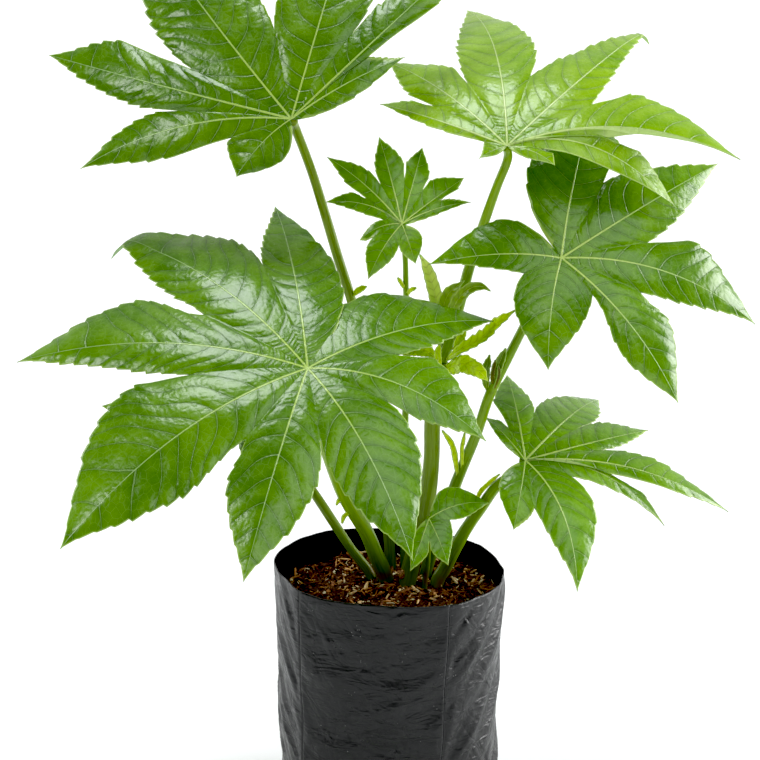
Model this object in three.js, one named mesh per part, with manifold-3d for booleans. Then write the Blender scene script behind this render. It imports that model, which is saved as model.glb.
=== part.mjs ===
// A young Japanese aralia in a black nursery bag: eight hand-shaped leaves on
// round stalks, the growing tip with its young leaves, potting mix and the bag.
// Millimetres, +Z up. The origin is the centre of the bag's flat base.

import * as THREE from 'three';
import { mergeVertices } from 'three/addons/utils/BufferGeometryUtils.js';
import Module from 'manifold-3d';

// Bag and potting mix
const BAG_HEIGHT = 180;
const RIM_RADIUS = 80;
const BASE_RADIUS = 76;
const BAG_WALL = 1.2;
const BASE_TUCK = 3;
const RIM_TILT = 4;
const FOLD_TURNS = [-50, 30, 130, 210];
const FOLD_RIDGE = 1.1;
const PANEL_FLAT = 1.6;
const BAG_SECTORS = 40;
const BAG_LEVELS = [0.04, 0.16, 0.3, 0.44, 0.58, 0.72, 0.82];
const MIX_HEIGHT = 163;
const MIX_LEVEL = MIX_HEIGHT / BAG_HEIGHT;
const MIX_RELIEF = 1.2;
const MIX_RINGS = [0.78, 0.5, 0.25];

// Stems
const ROOT_DEPTH = 22;
const ROOT_LEAN = 0.1;
const STEM_SIDES = 9;
const STEM_STEPS = 11;
const SEAT_GAP = 0.35;
const STALK_LEAD = 14;

// Leaf blades: the share of a lobe's rows that lies in the joined web, how the
// midrib rises from the hub, how the web pleats between two midribs, and how
// a half lobe arches and hangs at its margin, all as shares of its size
const BLADE_THICKNESS = 0.8;
const WEB_SHARE = 0.28;
const RIB_RISE = 0.12;
const WEB_PLEAT = 0.1;
const HALF_ARCH = 0.4;
const MARGIN_HANG = 0.12;
const INNER_COLUMN = 0.55;
const TIP_POWER = 1.3;
const FREE_WIDEST = 1 / (1 + TIP_POWER);
const OUTER_WIDEST = 0.43;
const OUTER_START = 0.04;
const OUTER_START_TURN = 50;
const SEAM_CLEARANCE = 0.6;
const TOOTH_SPACING = 24;
const TOOTH_DEPTH = 0.016;
const TOOTH_REACH = 0.8;

// Young leaves
const YOUNG_THICKNESS = 1;
const YOUNG_ROWS = 6;
const YOUNG_STALK = 0.9;

// Colours of the bag, the mix, the stems and the leaves
const COLOURS = {
  bag: 0x1b1c1e,
  mix: 0x3a2417,
  cane: 0x6f8c2f,
  stalk: 0x6c9030,
  stalkDark: 0x55722a,
  leaf: 0x3f8a1c,
  leafDark: 0x2f6f24,
  leafBright: 0x7fb82c,
  young: 0x9cc23a,
};

const radians = THREE.MathUtils.degToRad;

// A lobe: heading of its tip in the blade plane (degrees), length, sideways bow
// of the midrib (mm), drop of the tip (share of the length), half-widths to
// the left and right of the midrib (mm), and extra curl of the tip (share)
function lobe(heading, length, bow, drop, left, right, curl = 0) {
  return { heading, length, bow, drop, left, right, curl };
}

// Each leaf: the hub where its midribs meet, the way its upper face looks
// (turn from the front, height above level), its lobes in order round the hub,
// and the notch between each lobe and the next (heading, distance from the hub)
const LEAVES = {
  upper_left: {
    hub: [-65, -10, 496],
    facing: [-8, 30],
    colour: 'leaf',
    lobes: [
      lobe(-132, 52, -2, 0.15, 18, 17),
      lobe(-169, 150, -8, 0.18, 18, 15),
      lobe(163, 187, 5, 0.15, 16, 29),
      lobe(128, 213, 4, 0.15, 32, 32),
      lobe(81, 190, -3, 0.15, 31, 28),
      lobe(51, 169, -4, 0.15, 16, 14),
      lobe(35, 87, 1, 0.12, 5, 11),
    ],
    notches: [[-158, 41], [179, 75], [156, 74], [104, 62], [57, 68], [41, 65]],
  },
  upper_right: {
    hub: [77, -12, 478.5],
    facing: [-6, 48],
    colour: 'leafBright',
    lobes: [
      lobe(150, 104, 4, 0.2, 6, 11),
      lobe(133, 128, 0, 0.2, 14, 21),
      lobe(102, 191, -7, 0.38, 23, 27),
      lobe(59, 183, -8, 0.3, 20, 10, 0.12),
      lobe(10, 158, 9, 0.28, 34, 9),
      lobe(-2, 112, 11, 0.5, 19, 16),
      lobe(-20, 34, 2, 0.15, 10, 6),
    ],
    notches: [[149, 59], [120, 57], [77, 58], [31, 64], [9, 66], [-8, 22]],
  },
  right: {
    hub: [114, -16, 404],
    facing: [12, 33],
    colour: 'leafDark',
    lobes: [
      lobe(175, 86, -2, 0.25, 8, 26),
      lobe(-102, 75, -4, 0.2, 21, 23),
      lobe(-53, 123, 4, 0.2, 26, 17),
      lobe(-16, 149, 9, 0.25, 31, 15),
      lobe(30, 155, -1, 0.2, 22, 17),
      lobe(68, 132, 5, 0.2, 32, 32),
    ],
    notches: [[-159, 30], [-60, 33], [-30, 65], [6, 60], [55, 62]],
  },
  lower_left: {
    hub: [-53, -90, 347.5],
    facing: [5, 50],
    colour: 'leaf',
    lobes: [
      lobe(95, 162, -2, 0.2, 15, 31),
      lobe(132, 192, -6, 0.2, 22, 37, 0.06),
      lobe(168, 193, -6, 0.22, 18, 40),
      lobe(-146, 190, -8, 0.2, 32, 50),
      lobe(-108, 146, 0, 0.2, 26, 25),
      lobe(-64, 138, 4, 0.25, 32, 24),
      lobe(-19, 121, 8, 0.25, 32, 15),
      lobe(24, 141, 3, 0.22, 38, 14),
    ],
    notches: [[108, 84], [149, 76], [-174, 75], [-126, 71], [-85, 57], [-31, 56], [6, 58]],
  },
  lower_right: {
    hub: [91.5, -30, 267.5],
    facing: [15, 55],
    colour: 'leaf',
    lobes: [
      lobe(-111, 51, 0, 0.25, 8, 15),
      lobe(-79, 93, 7, 0.3, 24, 12),
      lobe(-21, 106, 8, 0.35, 10, 7),
      lobe(-9, 156, 3, 0.3, 17, 8),
      lobe(20, 116, -6, 0.25, 16, 7),
      lobe(44, 126, -2, 0.4, 21, 13),
      lobe(81, 92, 1, 0.2, 14, 12),
      lobe(107, 50, 1, 0.2, 5, 8),
    ],
    notches: [[-96, 40], [-34, 33], [-18, 58], [1, 52], [27, 49], [67, 41], [101, 28]],
  },
  rear_left: {
    hub: [-98.5, 42, 282],
    facing: [-12, 45],
    colour: 'leafDark',
    lobes: [
      lobe(82, 90, 0, 0.15, 17, 17),
      lobe(123, 85, 0, 0.15, 16, 16),
      lobe(177, 117, 2, 0.15, 20, 20),
      lobe(-145, 88, 0, 0.15, 17, 17),
      lobe(-82, 74, 0, 0.15, 14, 14),
    ],
    notches: [[102, 36], [150, 42], [-164, 42], [-114, 32]],
  },
  top_small: {
    hub: [8, 0, 424],
    facing: [5, 25],
    colour: 'leaf',
    lobes: [
      lobe(-72, 28, 0, 0.2, 10, 6),
      lobe(-123, 43, -2, 0.2, 8, 9),
      lobe(-162, 30, -3, 0.25, 4, 4),
      lobe(160, 54, -5, 0.2, 6, 7),
      lobe(134, 70, -2, 0.15, 7, 9),
      lobe(101, 65, 0, 0.15, 8, 11),
      lobe(73, 58, 0, 0.15, 8, 9),
      lobe(37, 56, 0, 0.15, 11, 5),
      lobe(19, 52, 2, 0.2, 4, 4),
    ],
    notches: [[-100, 15], [-155, 22], [168, 13], [144, 29], [117, 30], [85, 31], [57, 27], [30, 31]],
  },
  base_small: {
    hub: [26.5, -36, 228],
    facing: [10, 40],
    colour: 'leaf',
    lobes: [
      lobe(-115, 38, 0, 0.2, 5, 4),
      lobe(-72, 34, 0, 0.2, 10, 5),
      lobe(16, 48, 3, 0.25, 15, 9),
    ],
    notches: [[-104, 9], [-9, 14]],
  },
};

// The upright cane: points on its axis from the mix upward, and its radius at
// the mix and at the growing tip
const CANE = {
  points: [
    [12.5, 10, 164], [20, 9, 197], [26, 8, 227], [29, 7, 256], [29.5, 5, 285],
    [32, 3, 308], [35, 0, 328],
  ],
  radii: [6.2, 5.4],
};

// Each leaf stalk: points on its axis, and its radius at the foot and at the
// leaf. A stalk marked `onCane` springs from the growing tip.
const STALKS = {
  upper_left: {
    points: [
      [1, 46, 164], [-2.5, 48, 214], [-7.5, 46, 266], [-16.5, 40, 323], [-27.5, 34, 367],
      [-36, 30, 396], [-44, 26, 425], [-53, 18, 457],
    ],
    radii: [4.2, 3.1],
    colour: 'stalkDark',
  },
  upper_right: {
    points: [
      [35.2, -0.2, 329], [40, 0, 342], [48, 0, 372], [53, 0, 394], [60, 0, 420],
      [70, 0, 450],
    ],
    radii: [4.4, 3.3],
    colour: 'stalk',
    onCane: true,
  },
  right: {
    points: [
      [26, 30, 164], [36, 25, 199], [47, 13, 239], [60, 0, 278], [68.5, -4, 307],
      [80, -5, 332], [91, -5, 355], [104, -4, 382],
    ],
    radii: [4.5, 2.8],
    colour: 'stalk',
  },
  lower_left: {
    points: [
      [-2.5, 15, 164], [-9.5, 5, 187], [-17, -5, 209], [-31, -22, 240], [-42, -44, 278],
      [-49, -66, 312],
    ],
    radii: [6, 3.8],
    colour: 'stalk',
  },
  lower_right: {
    points: [
      [34, 15, 164], [39, 14, 174], [52, 7, 203], [63, 0, 223], [74, -10, 243],
      [82, -17, 251],
    ],
    radii: [5.2, 3.2],
    colour: 'stalk',
  },
  rear_left: {
    points: [
      [-13, 23, 164], [-28, 24, 186], [-42, 28, 207], [-54, 34, 224], [-71, 44, 245],
      [-89, 54, 262],
    ],
    radii: [3.7, 3],
    colour: 'stalkDark',
  },
  top_small: {
    points: [
      [10.5, 47, 164], [10.5, 42, 215], [11, 34, 270], [11.5, 26, 323], [11, 18, 377],
      [10, 15, 402],
    ],
    radii: [2.7, 1.8],
    colour: 'stalk',
  },
  base_small: {
    points: [
      [24.5, 4, 164], [26.5, -5, 186], [26.5, -18, 207],
    ],
    radii: [2.2, 1.5],
    colour: 'stalk',
  },
};

// Young leaves and shoots: the stems that each one sits on, points along its
// middle from inside that stem to its tip, its half-width, how far its two
// halves fold up (degrees) and the way its open side looks
const YOUNG = [
  {
    name: 'young_leaf_pale',
    on: ['cane', 'upper_right'],
    half: 6,
    fold: 25,
    side: [10, 0],
    colour: 'young',
    points: [
      [34, 1, 334], [33.4, 2, 356], [31.3, 3, 371], [28.5, 3, 382.5], [24.4, 3, 394.5],
      [20, 2, 403],
    ],
  },
  {
    name: 'young_leaf_wrap_left',
    on: ['cane', 'upper_right'],
    half: 5.5,
    fold: 20,
    side: [-10, 20],
    colour: 'leafDark',
    points: [
      [35, 0, 337], [34.5, -5.5, 357.5], [36.4, -7, 370], [39.7, -8, 378], [45, -9, 383],
      [50, -8, 387],
    ],
  },
  {
    name: 'young_leaf_wrap_right',
    on: ['cane', 'upper_right'],
    half: 5,
    fold: 20,
    side: [0, 30],
    colour: 'leafDark',
    points: [
      [39, -1, 341], [40.5, -9, 358], [43.5, -13, 371], [48.5, -15, 379], [55, -15, 383.5],
      [62, -14, 384], [68, -13, 380.5],
    ],
  },
  {
    name: 'young_leaf_bright_long',
    on: ['cane', 'upper_right'],
    half: 6,
    fold: 30,
    side: [-10, 40],
    colour: 'leafBright',
    points: [
      [36, -1, 328], [44.7, -11, 337.5], [52.6, -14, 343.5], [62, -15, 349],
      [71, -15, 358], [84, -15, 368.5],
    ],
  },
  {
    name: 'young_leaf_bright_low',
    on: ['cane', 'upper_right'],
    half: 7.6,
    fold: 10,
    side: [0, 35],
    colour: 'leafBright',
    points: [
      [35, -1, 322], [43, -14, 329], [49, -20, 332], [55, -22, 330.5], [61, -22, 326.5],
      [66.5, -21, 320],
    ],
  },
  {
    name: 'young_leaf_upright',
    on: ['cane', 'upper_right'],
    half: 4,
    fold: 25,
    side: [0, 20],
    colour: 'leafBright',
    points: [
      [40, -1, 338], [44.2, -6, 340], [46.8, -8.5, 345], [48.7, -9, 350], [50.5, -9, 355],
    ],
  },
  {
    name: 'young_leaf_rear',
    on: ['cane', 'upper_right'],
    half: 5,
    fold: 20,
    side: [0, 30],
    colour: 'leafBright',
    points: [
      [34.5, 2, 326], [27.5, 10, 332], [19.5, 14, 333.5], [12.5, 16, 332.5], [5, 17, 330],
    ],
  },
  {
    name: 'bract_pale',
    on: ['cane', 'upper_right'],
    half: 3,
    fold: 20,
    side: [0, 10],
    colour: 'young',
    points: [
      [35, 0, 322], [33, -7, 331], [32.5, -8, 337], [34, -8, 343],
    ],
  },
  {
    name: 'shoot_leaf_short',
    on: ['right'],
    half: 3.6,
    fold: 25,
    side: [0, 20],
    colour: 'leafDark',
    points: [
      [67.5, -1, 304], [65.2, -8, 317], [65, -9.5, 325], [66.4, -10, 331],
      [67.6, -10, 336],
    ],
  },
  {
    name: 'shoot_leaf_tall',
    on: ['right'],
    half: 4,
    fold: 25,
    side: [0, 10],
    colour: 'leafDark',
    points: [
      [70, -3, 309], [71.5, -11, 320], [72.5, -13.5, 327], [75, -14, 334],
      [78.5, -13, 341.5],
    ],
  },
  {
    name: 'shoot_low_left',
    on: ['right'],
    half: 2.2,
    fold: 30,
    side: [0, 10],
    colour: 'young',
    points: [
      [48, 12, 237], [46, 4, 254], [43, 1, 269], [36, -1, 280],
    ],
  },
  {
    name: 'shoot_low_right',
    on: ['right'],
    half: 1.6,
    fold: 30,
    side: [20, 10],
    colour: 'young',
    points: [
      [50, 11, 244], [50, 3, 256], [50, 1, 268], [52, 0, 278],
    ],
  },
  {
    name: 'sheath_lower_right',
    on: ['lower_right'],
    half: 1.8,
    fold: 20,
    side: [0, 30],
    colour: 'stalk',
    points: [
      [58, 3, 214], [62, -6, 236], [69, -14, 247], [75, -18, 254],
    ],
  },
  {
    name: 'stipule_upper',
    on: ['lower_left'],
    half: 1.8,
    fold: 30,
    side: [0, 30],
    colour: 'stalk',
    points: [
      [-25, -15, 227], [-30, -21, 235.5], [-34, -23, 237], [-37, -23, 233],
    ],
  },
  {
    name: 'stipule_lower',
    on: ['lower_left'],
    half: 1.6,
    fold: 30,
    side: [0, 30],
    colour: 'stalk',
    points: [
      [-22, -11, 219], [-27, -18, 226], [-31, -20, 224.5], [-33, -21, 219],
    ],
  },
  {
    name: 'bract_upper_left',
    on: ['upper_left'],
    half: 2.6,
    fold: 15,
    side: [0, 30],
    colour: 'young',
    points: [
      [-27, 34, 365], [-22.5, 30, 371], [-16, 28, 375],
    ],
  },
  {
    name: 'bract_top_left',
    on: ['top_small'],
    half: 1.4,
    fold: 20,
    side: [0, 20],
    colour: 'young',
    points: [
      [11, 18.5, 374], [8.5, 15, 379], [5.5, 14, 384],
    ],
  },
  {
    name: 'bract_top_right',
    on: ['top_small'],
    half: 1.6,
    fold: 20,
    side: [0, 20],
    colour: 'young',
    points: [
      [11, 19, 369], [14, 15, 375], [18, 14, 377],
    ],
  },
];

function turnBetween(from, to) {
  return THREE.MathUtils.euclideanModulo(to - from + 180, 360) - 180;
}

function material(colour, roughness) {
  return new THREE.MeshStandardMaterial({ color: COLOURS[colour], roughness, metalness: 0 });
}

function node(name, geometry, surface) {
  const mesh = new THREE.Mesh(geometry, surface);
  mesh.name = name;
  return mesh;
}

function vector(place) {
  return new THREE.Vector3(...place);
}

// The three directions of a blade: across to the right, up the blade, and out
// of its upper face
function bladeAxes([turn, height]) {
  const across = radians(turn);
  const tilt = radians(height);
  const out = new THREE.Vector3(
    Math.sin(across) * Math.cos(tilt),
    -Math.cos(across) * Math.cos(tilt),
    Math.sin(tilt),
  );
  const right = new THREE.Vector3(0, 0, 1).cross(out).normalize();
  const up = out.clone().cross(right);
  return { right, up, out };
}

// Merges shared corners and turns the faces out
function closedGeometry(geometry) {
  geometry.deleteAttribute('normal');
  geometry.deleteAttribute('uv');
  const merged = mergeVertices(geometry, 1e-4);
  const place = merged.getAttribute('position');
  const index = merged.getIndex();
  const [a, b, c] = [new THREE.Vector3(), new THREE.Vector3(), new THREE.Vector3()];
  let volume = 0;
  const kept = [];
  for (let i = 0; i < index.count; i += 3) {
    const corners = [index.getX(i), index.getX(i + 1), index.getX(i + 2)];
    if (new Set(corners).size < 3) {
      continue;
    }
    a.fromBufferAttribute(place, corners[0]);
    b.fromBufferAttribute(place, corners[1]);
    c.fromBufferAttribute(place, corners[2]);
    volume += a.dot(b.cross(c));
    kept.push(corners);
  }
  merged.setIndex(kept.flatMap((corners) => (volume < 0 ? corners.reverse() : corners)));
  return merged;
}

const solids = await Module();
solids.setup();

function toSolid(geometry) {
  const closed = closedGeometry(geometry.clone());
  return new solids.Manifold(new solids.Mesh({
    numProp: 3,
    vertProperties: new Float32Array(closed.getAttribute('position').array),
    triVerts: new Uint32Array(closed.getIndex().array),
  }));
}

function toGeometry(solid) {
  const mesh = solid.getMesh();
  const geometry = new THREE.BufferGeometry();
  geometry.setAttribute('position', new THREE.BufferAttribute(new Float32Array(mesh.vertProperties), 3));
  geometry.setIndex(new THREE.BufferAttribute(new Uint32Array(mesh.triVerts), 1));
  return geometry;
}

// Cuts one piece clear of others, given as slightly larger shapes, and keeps
// the largest part that is left
function cutClear(geometry, clearances) {
  let solid = toSolid(geometry);
  for (const clearance of clearances) {
    solid = solid.subtract(toSolid(clearance));
  }
  const parts = solid.decompose().sort((one, other) => other.volume() - one.volume());
  return toGeometry(parts[0]);
}

// How far the film stands from its round shape at a turn (from the front
// towards +X) and a height: flat panels, ridged folds and soft crumples
function filmOffset(turn, height) {
  let nearest = 180;
  for (const fold of FOLD_TURNS) {
    const away = Math.abs(turnBetween(fold, THREE.MathUtils.radToDeg(turn)));
    nearest = Math.min(nearest, away);
  }
  const ridge = FOLD_RIDGE * Math.exp(-((nearest / 6) ** 2));
  const flat = -PANEL_FLAT * Math.sin(radians(Math.min(nearest, 45) * 2)) ** 2;
  const crumple = 0.5 * Math.sin(3 * turn + height / 13) + 0.4 * Math.sin(7 * turn - height / 9 + 1);
  return ridge + flat + crumple;
}

// The rim is higher on the left than on the right and slightly wavy
function filmLift(turn, share) {
  const wave = 0.9 * Math.sin(3 * turn + 0.6) + 0.5 * Math.sin(5 * turn + 2);
  return share ** 3 * (wave - RIM_TILT * Math.sin(turn));
}

function turnedFilm(profile) {
  const geometry = new THREE.LatheGeometry(profile, BAG_SECTORS);
  geometry.rotateX(Math.PI / 2);
  return geometry;
}

function filmRadius(share) {
  return THREE.MathUtils.lerp(BASE_RADIUS, RIM_RADIUS, share);
}

function ruffle(geometry, height) {
  const place = geometry.getAttribute('position');
  for (let i = 0; i < place.count; i += 1) {
    const [x, y, z] = [place.getX(i), place.getY(i), place.getZ(i)];
    const reach = Math.hypot(x, y);
    if (reach > BASE_RADIUS * 0.9) {
      const turn = Math.atan2(x, -y);
      const share = z / height;
      const settle = THREE.MathUtils.smoothstep(z, 0, 0.1 * height);
      const moved = reach + filmOffset(turn, z) * settle;
      place.setXYZ(i, (x * moved) / reach, (y * moved) / reach, z + filmLift(turn, share));
    }
  }
  return geometry;
}

function growBag() {
  const outer = [new THREE.Vector2(0, 0), new THREE.Vector2(BASE_RADIUS - BASE_TUCK, 0)];
  const inner = [];
  for (const share of [...BAG_LEVELS, MIX_LEVEL, 1]) {
    outer.push(new THREE.Vector2(filmRadius(share), share * BAG_HEIGHT));
    inner.unshift(new THREE.Vector2(filmRadius(share) - BAG_WALL, share * BAG_HEIGHT));
  }
  inner.push(new THREE.Vector2(BASE_RADIUS - BASE_TUCK - BAG_WALL, BAG_WALL));
  inner.push(new THREE.Vector2(0, BAG_WALL));
  return closedGeometry(ruffle(turnedFilm([...outer, ...inner]), BAG_HEIGHT));
}

// The mix fills the bag to below the rim; its top is a little uneven. Its
// profile runs downward, as the film's inside does, so that both fold alike.
function mixBody() {
  const gap = BAG_WALL + SEAT_GAP;
  const floor = BAG_WALL + SEAT_GAP;
  const wall = [new THREE.Vector2(0, floor), new THREE.Vector2(BASE_RADIUS - BASE_TUCK - gap - 0.2, floor)];
  for (const share of [...BAG_LEVELS, MIX_LEVEL]) {
    wall.push(new THREE.Vector2(filmRadius(share) - gap, share * BAG_HEIGHT));
  }
  for (const ring of MIX_RINGS) {
    wall.push(new THREE.Vector2(RIM_RADIUS * ring, MIX_HEIGHT));
  }
  wall.push(new THREE.Vector2(0, MIX_HEIGHT));
  const geometry = ruffle(turnedFilm(wall.reverse()), BAG_HEIGHT);
  const place = geometry.getAttribute('position');
  for (let i = 0; i < place.count; i += 1) {
    const [x, y, z] = [place.getX(i), place.getY(i), place.getZ(i)];
    if (z > MIX_HEIGHT - 0.1 && Math.hypot(x, y) < RIM_RADIUS * 0.8) {
      place.setZ(i, z + MIX_RELIEF * (Math.sin(x / 9 + y / 14) + Math.sin(y / 11 - x / 17)));
    }
  }
  return geometry;
}

// A round stem along a smooth line, tapering from its foot to its tip, with
// a swelling in its first tenth
function stem(points, [footRadius, tipRadius], grow = 0, steps = STEM_STEPS) {
  const line = new THREE.CatmullRomCurve3(points, false, 'centripetal');
  const section = new THREE.Shape();
  for (let i = 0; i < STEM_SIDES; i += 1) {
    const turn = (i / STEM_SIDES) * 2 * Math.PI;
    const corner = [Math.cos(turn), Math.sin(turn)];
    if (i === 0) {
      section.moveTo(...corner);
    } else {
      section.lineTo(...corner);
    }
  }
  section.closePath();
  const geometry = new THREE.ExtrudeGeometry(section, { steps, bevelEnabled: false, extrudePath: line });
  const centres = line.getSpacedPoints(steps);
  const place = geometry.getAttribute('position');
  const corner = new THREE.Vector3();
  for (let i = 0; i < place.count; i += 1) {
    corner.fromBufferAttribute(place, i);
    let nearest = 0;
    centres.forEach((centre, k) => {
      if (corner.distanceTo(centre) < corner.distanceTo(centres[nearest])) {
        nearest = k;
      }
    });
    const radius = THREE.MathUtils.lerp(footRadius, tipRadius, nearest / steps) + grow;
    corner.sub(centres[nearest]).multiplyScalar(radius).add(centres[nearest]);
    place.setXYZ(i, corner.x, corner.y, corner.z);
  }
  return geometry;
}

// Lets the foot of a stem run down into the mix, more upright than the stem
function rooted(points, depth) {
  const foot = vector(points[0]);
  const lean = vector(points[1]).sub(foot);
  const reach = (depth * ROOT_LEAN) / lean.z;
  const root = foot.clone().add(new THREE.Vector3(-lean.x * reach, -lean.y * reach, -depth));
  return [root, ...points.map(vector)];
}

function caneGeometry(grow = 0) {
  const root = rooted(CANE.points, ROOT_DEPTH + grow);
  return stem(root, CANE.radii, grow);
}

// A leaf stalk ends square under the middle of its blade
function stalkGeometry(name, grow = 0) {
  const { points, radii, onCane } = STALKS[name];
  const { hub, facing } = LEAVES[name];
  const { out } = bladeAxes(facing);
  const line = onCane ? points.map(vector) : rooted(points, ROOT_DEPTH + grow);
  line.push(vector(hub).addScaledVector(out, -STALK_LEAD));
  line.push(vector(hub).addScaledVector(out, -BLADE_THICKNESS - SEAT_GAP));
  return stem(line, radii, grow);
}

function midribRise(part, share) {
  const hooked = Math.max(0, (share - 0.7) / 0.3) ** 2 * part.curl;
  return part.length * (RIB_RISE * share - (RIB_RISE + part.drop) * share * share - hooked);
}

function midribBow(part, share) {
  return part.bow * 4 * share * (1 - share);
}

// The seam that two lobes share, from the hub (0) to their notch (1)
function seamRise(leaf, seam, share) {
  const distance = leaf.notches[seam][1] * share;
  const pair = [leaf.lobes[seam], leaf.lobes[seam + 1]];
  const ribs = pair.map((part) => midribRise(part, Math.min(distance / part.length, 1)));
  return (ribs[0] + ribs[1]) / 2 + WEB_PLEAT * leaf.notches[seam][1] * share ** 1.5;
}

// What a half lobe's rows need: where its free margin starts, and its limits
function halfLobe(leaf, index, side) {
  const part = leaf.lobes[index];
  const order = turnBetween(leaf.lobes[0].heading, leaf.lobes[1].heading) > 0 ? 1 : -1;
  const seam = side * order > 0 ? index : index - 1;
  const joined = seam >= 0 && seam < leaf.notches.length;
  const half = side > 0 ? part.left : part.right;
  const teeth = Math.max(4, Math.round(part.length / TOOTH_SPACING));
  if (!joined) {
    const reach = OUTER_START * part.length;
    const turn = radians(OUTER_START_TURN);
    return {
      part, side, half, teeth, seam: -1, widest: OUTER_WIDEST,
      along: reach * Math.cos(turn), aside: reach * Math.sin(turn), opening: Infinity,
      rise: midribRise(part, (reach * Math.cos(turn)) / part.length),
    };
  }
  const [heading, distance] = leaf.notches[seam];
  const opening = side * radians(turnBetween(part.heading, heading));
  const along = distance * Math.cos(opening);
  return {
    part, side, half, teeth, seam, widest: FREE_WIDEST, opening, along,
    aside: distance * Math.sin(opening) - side * midribBow(part, along / part.length),
    rise: seamRise(leaf, seam, 1),
  };
}

// The joined web's edge: the seam, seen from this lobe's midrib
function webEdge(leaf, half, share) {
  const { part, side, seam } = half;
  const x = half.along * share;
  if (seam < 0) {
    return { x, y: half.aside * share, lift: 0 };
  }
  const y = leaf.notches[seam][1] * Math.sin(half.opening) * share;
  const ribShare = x / part.length;
  return {
    x,
    y: y - side * midribBow(part, ribShare),
    lift: seamRise(leaf, seam, share) - midribRise(part, ribShare),
  };
}

// The free margin from the notch (0) to the tip (1); `tooth` is 0 in the
// notch between two teeth and 1 on a tooth's point
function freeEdge(half, share, tooth) {
  const { part, side, widest } = half;
  const power = (TIP_POWER * widest) / (1 - widest);
  const swell = (share / widest) ** power * ((1 - share) / (1 - widest)) ** TIP_POWER;
  const start = half.aside;
  const depth = TOOTH_DEPTH * part.length * Math.min(1, 3 * (1 - share), 4 * share);
  const x = half.along + (part.length - half.along) * share + 0.7 * depth * tooth;
  let y = start * (1 - share) ** 1.5 + (half.half - start * (1 - widest) ** 1.5) * swell;
  y += depth * (tooth - 0.4);
  if (half.opening !== Infinity) {
    const bow = side * midribBow(part, Math.min(x / part.length, 1));
    y = Math.min(y, x * Math.tan(half.opening) - SEAM_CLEARANCE * Math.min(1, 6 * share) - bow);
  }
  const hang = MARGIN_HANG * half.half * Math.sin(Math.PI * share);
  const lift = (half.rise - midribRise(part, half.along / part.length)) * (1 - share) ** 2 - hang;
  return { x, y: Math.max(y, 0), lift };
}

// A point of the upper face, from the midrib (across 0) to the margin (1)
function bladePoint(leaf, axes, half, row, across, edge) {
  const { part, side } = half;
  const x = part.length * row + (edge.x - part.length * row) * across ** 1.3;
  const share = THREE.MathUtils.clamp(x / part.length, 0, 1);
  const y = side * edge.y * across + midribBow(part, share);
  const arch = HALF_ARCH * edge.y * across * (1 - across);
  const z = midribRise(part, share) + edge.lift * across ** 1.6 + arch;
  const heading = radians(part.heading);
  return vector(leaf.hub)
    .addScaledVector(axes.right, x * Math.cos(heading) - y * Math.sin(heading))
    .addScaledVector(axes.up, x * Math.sin(heading) + y * Math.cos(heading))
    .addScaledVector(axes.out, z);
}

// Adds the triangles of one half lobe to `faces`, each a list of three points
function addHalfLobe(faces, leaf, axes, half) {
  const ordered = (a, b, c) => faces.push(half.side > 0 ? [a, c, b] : [a, b, c]);
  const strip = (near, far, tooth) => {
    if (near.length === 1) {
      ordered(near[0], far[1], far[0]);
      ordered(near[0], far[2], far[1]);
      return;
    }
    ordered(near[0], near[1], far[0]);
    if (far.length > 1) {
      ordered(near[1], far[1], far[0]);
    }
    const inner = far.length > 1 ? far[1] : far[0];
    const outer = far.length > 1 ? far[2] : far[0];
    ordered(near[1], near[2], inner);
    if (tooth) {
      ordered(near[2], tooth, inner);
    }
    if (outer !== inner) {
      ordered(tooth ?? near[2], outer, inner);
    }
  };
  const rowPoints = (row, edge) => [0, INNER_COLUMN, 1].map((across) => (
    bladePoint(leaf, axes, half, row, across, edge)
  ));
  let near = [vector(leaf.hub)];
  for (const share of [0.5, 1]) {
    const far = rowPoints(WEB_SHARE * share, webEdge(leaf, half, share));
    strip(near, far, null);
    near = far;
  }
  for (let k = 1; k <= half.teeth; k += 1) {
    const share = k / half.teeth;
    const row = WEB_SHARE + (1 - WEB_SHARE) * share;
    const toothShare = (k - 1 + TOOTH_REACH) / half.teeth;
    const toothRow = WEB_SHARE + (1 - WEB_SHARE) * toothShare;
    const tooth = bladePoint(leaf, axes, half, toothRow, 1, freeEdge(half, toothShare, 1));
    const far = k < half.teeth
      ? rowPoints(row, freeEdge(half, share, 0))
      : [bladePoint(leaf, axes, half, 1, 0, freeEdge(half, 1, 0))];
    strip(near, far, tooth);
    near = far;
  }
}

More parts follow.
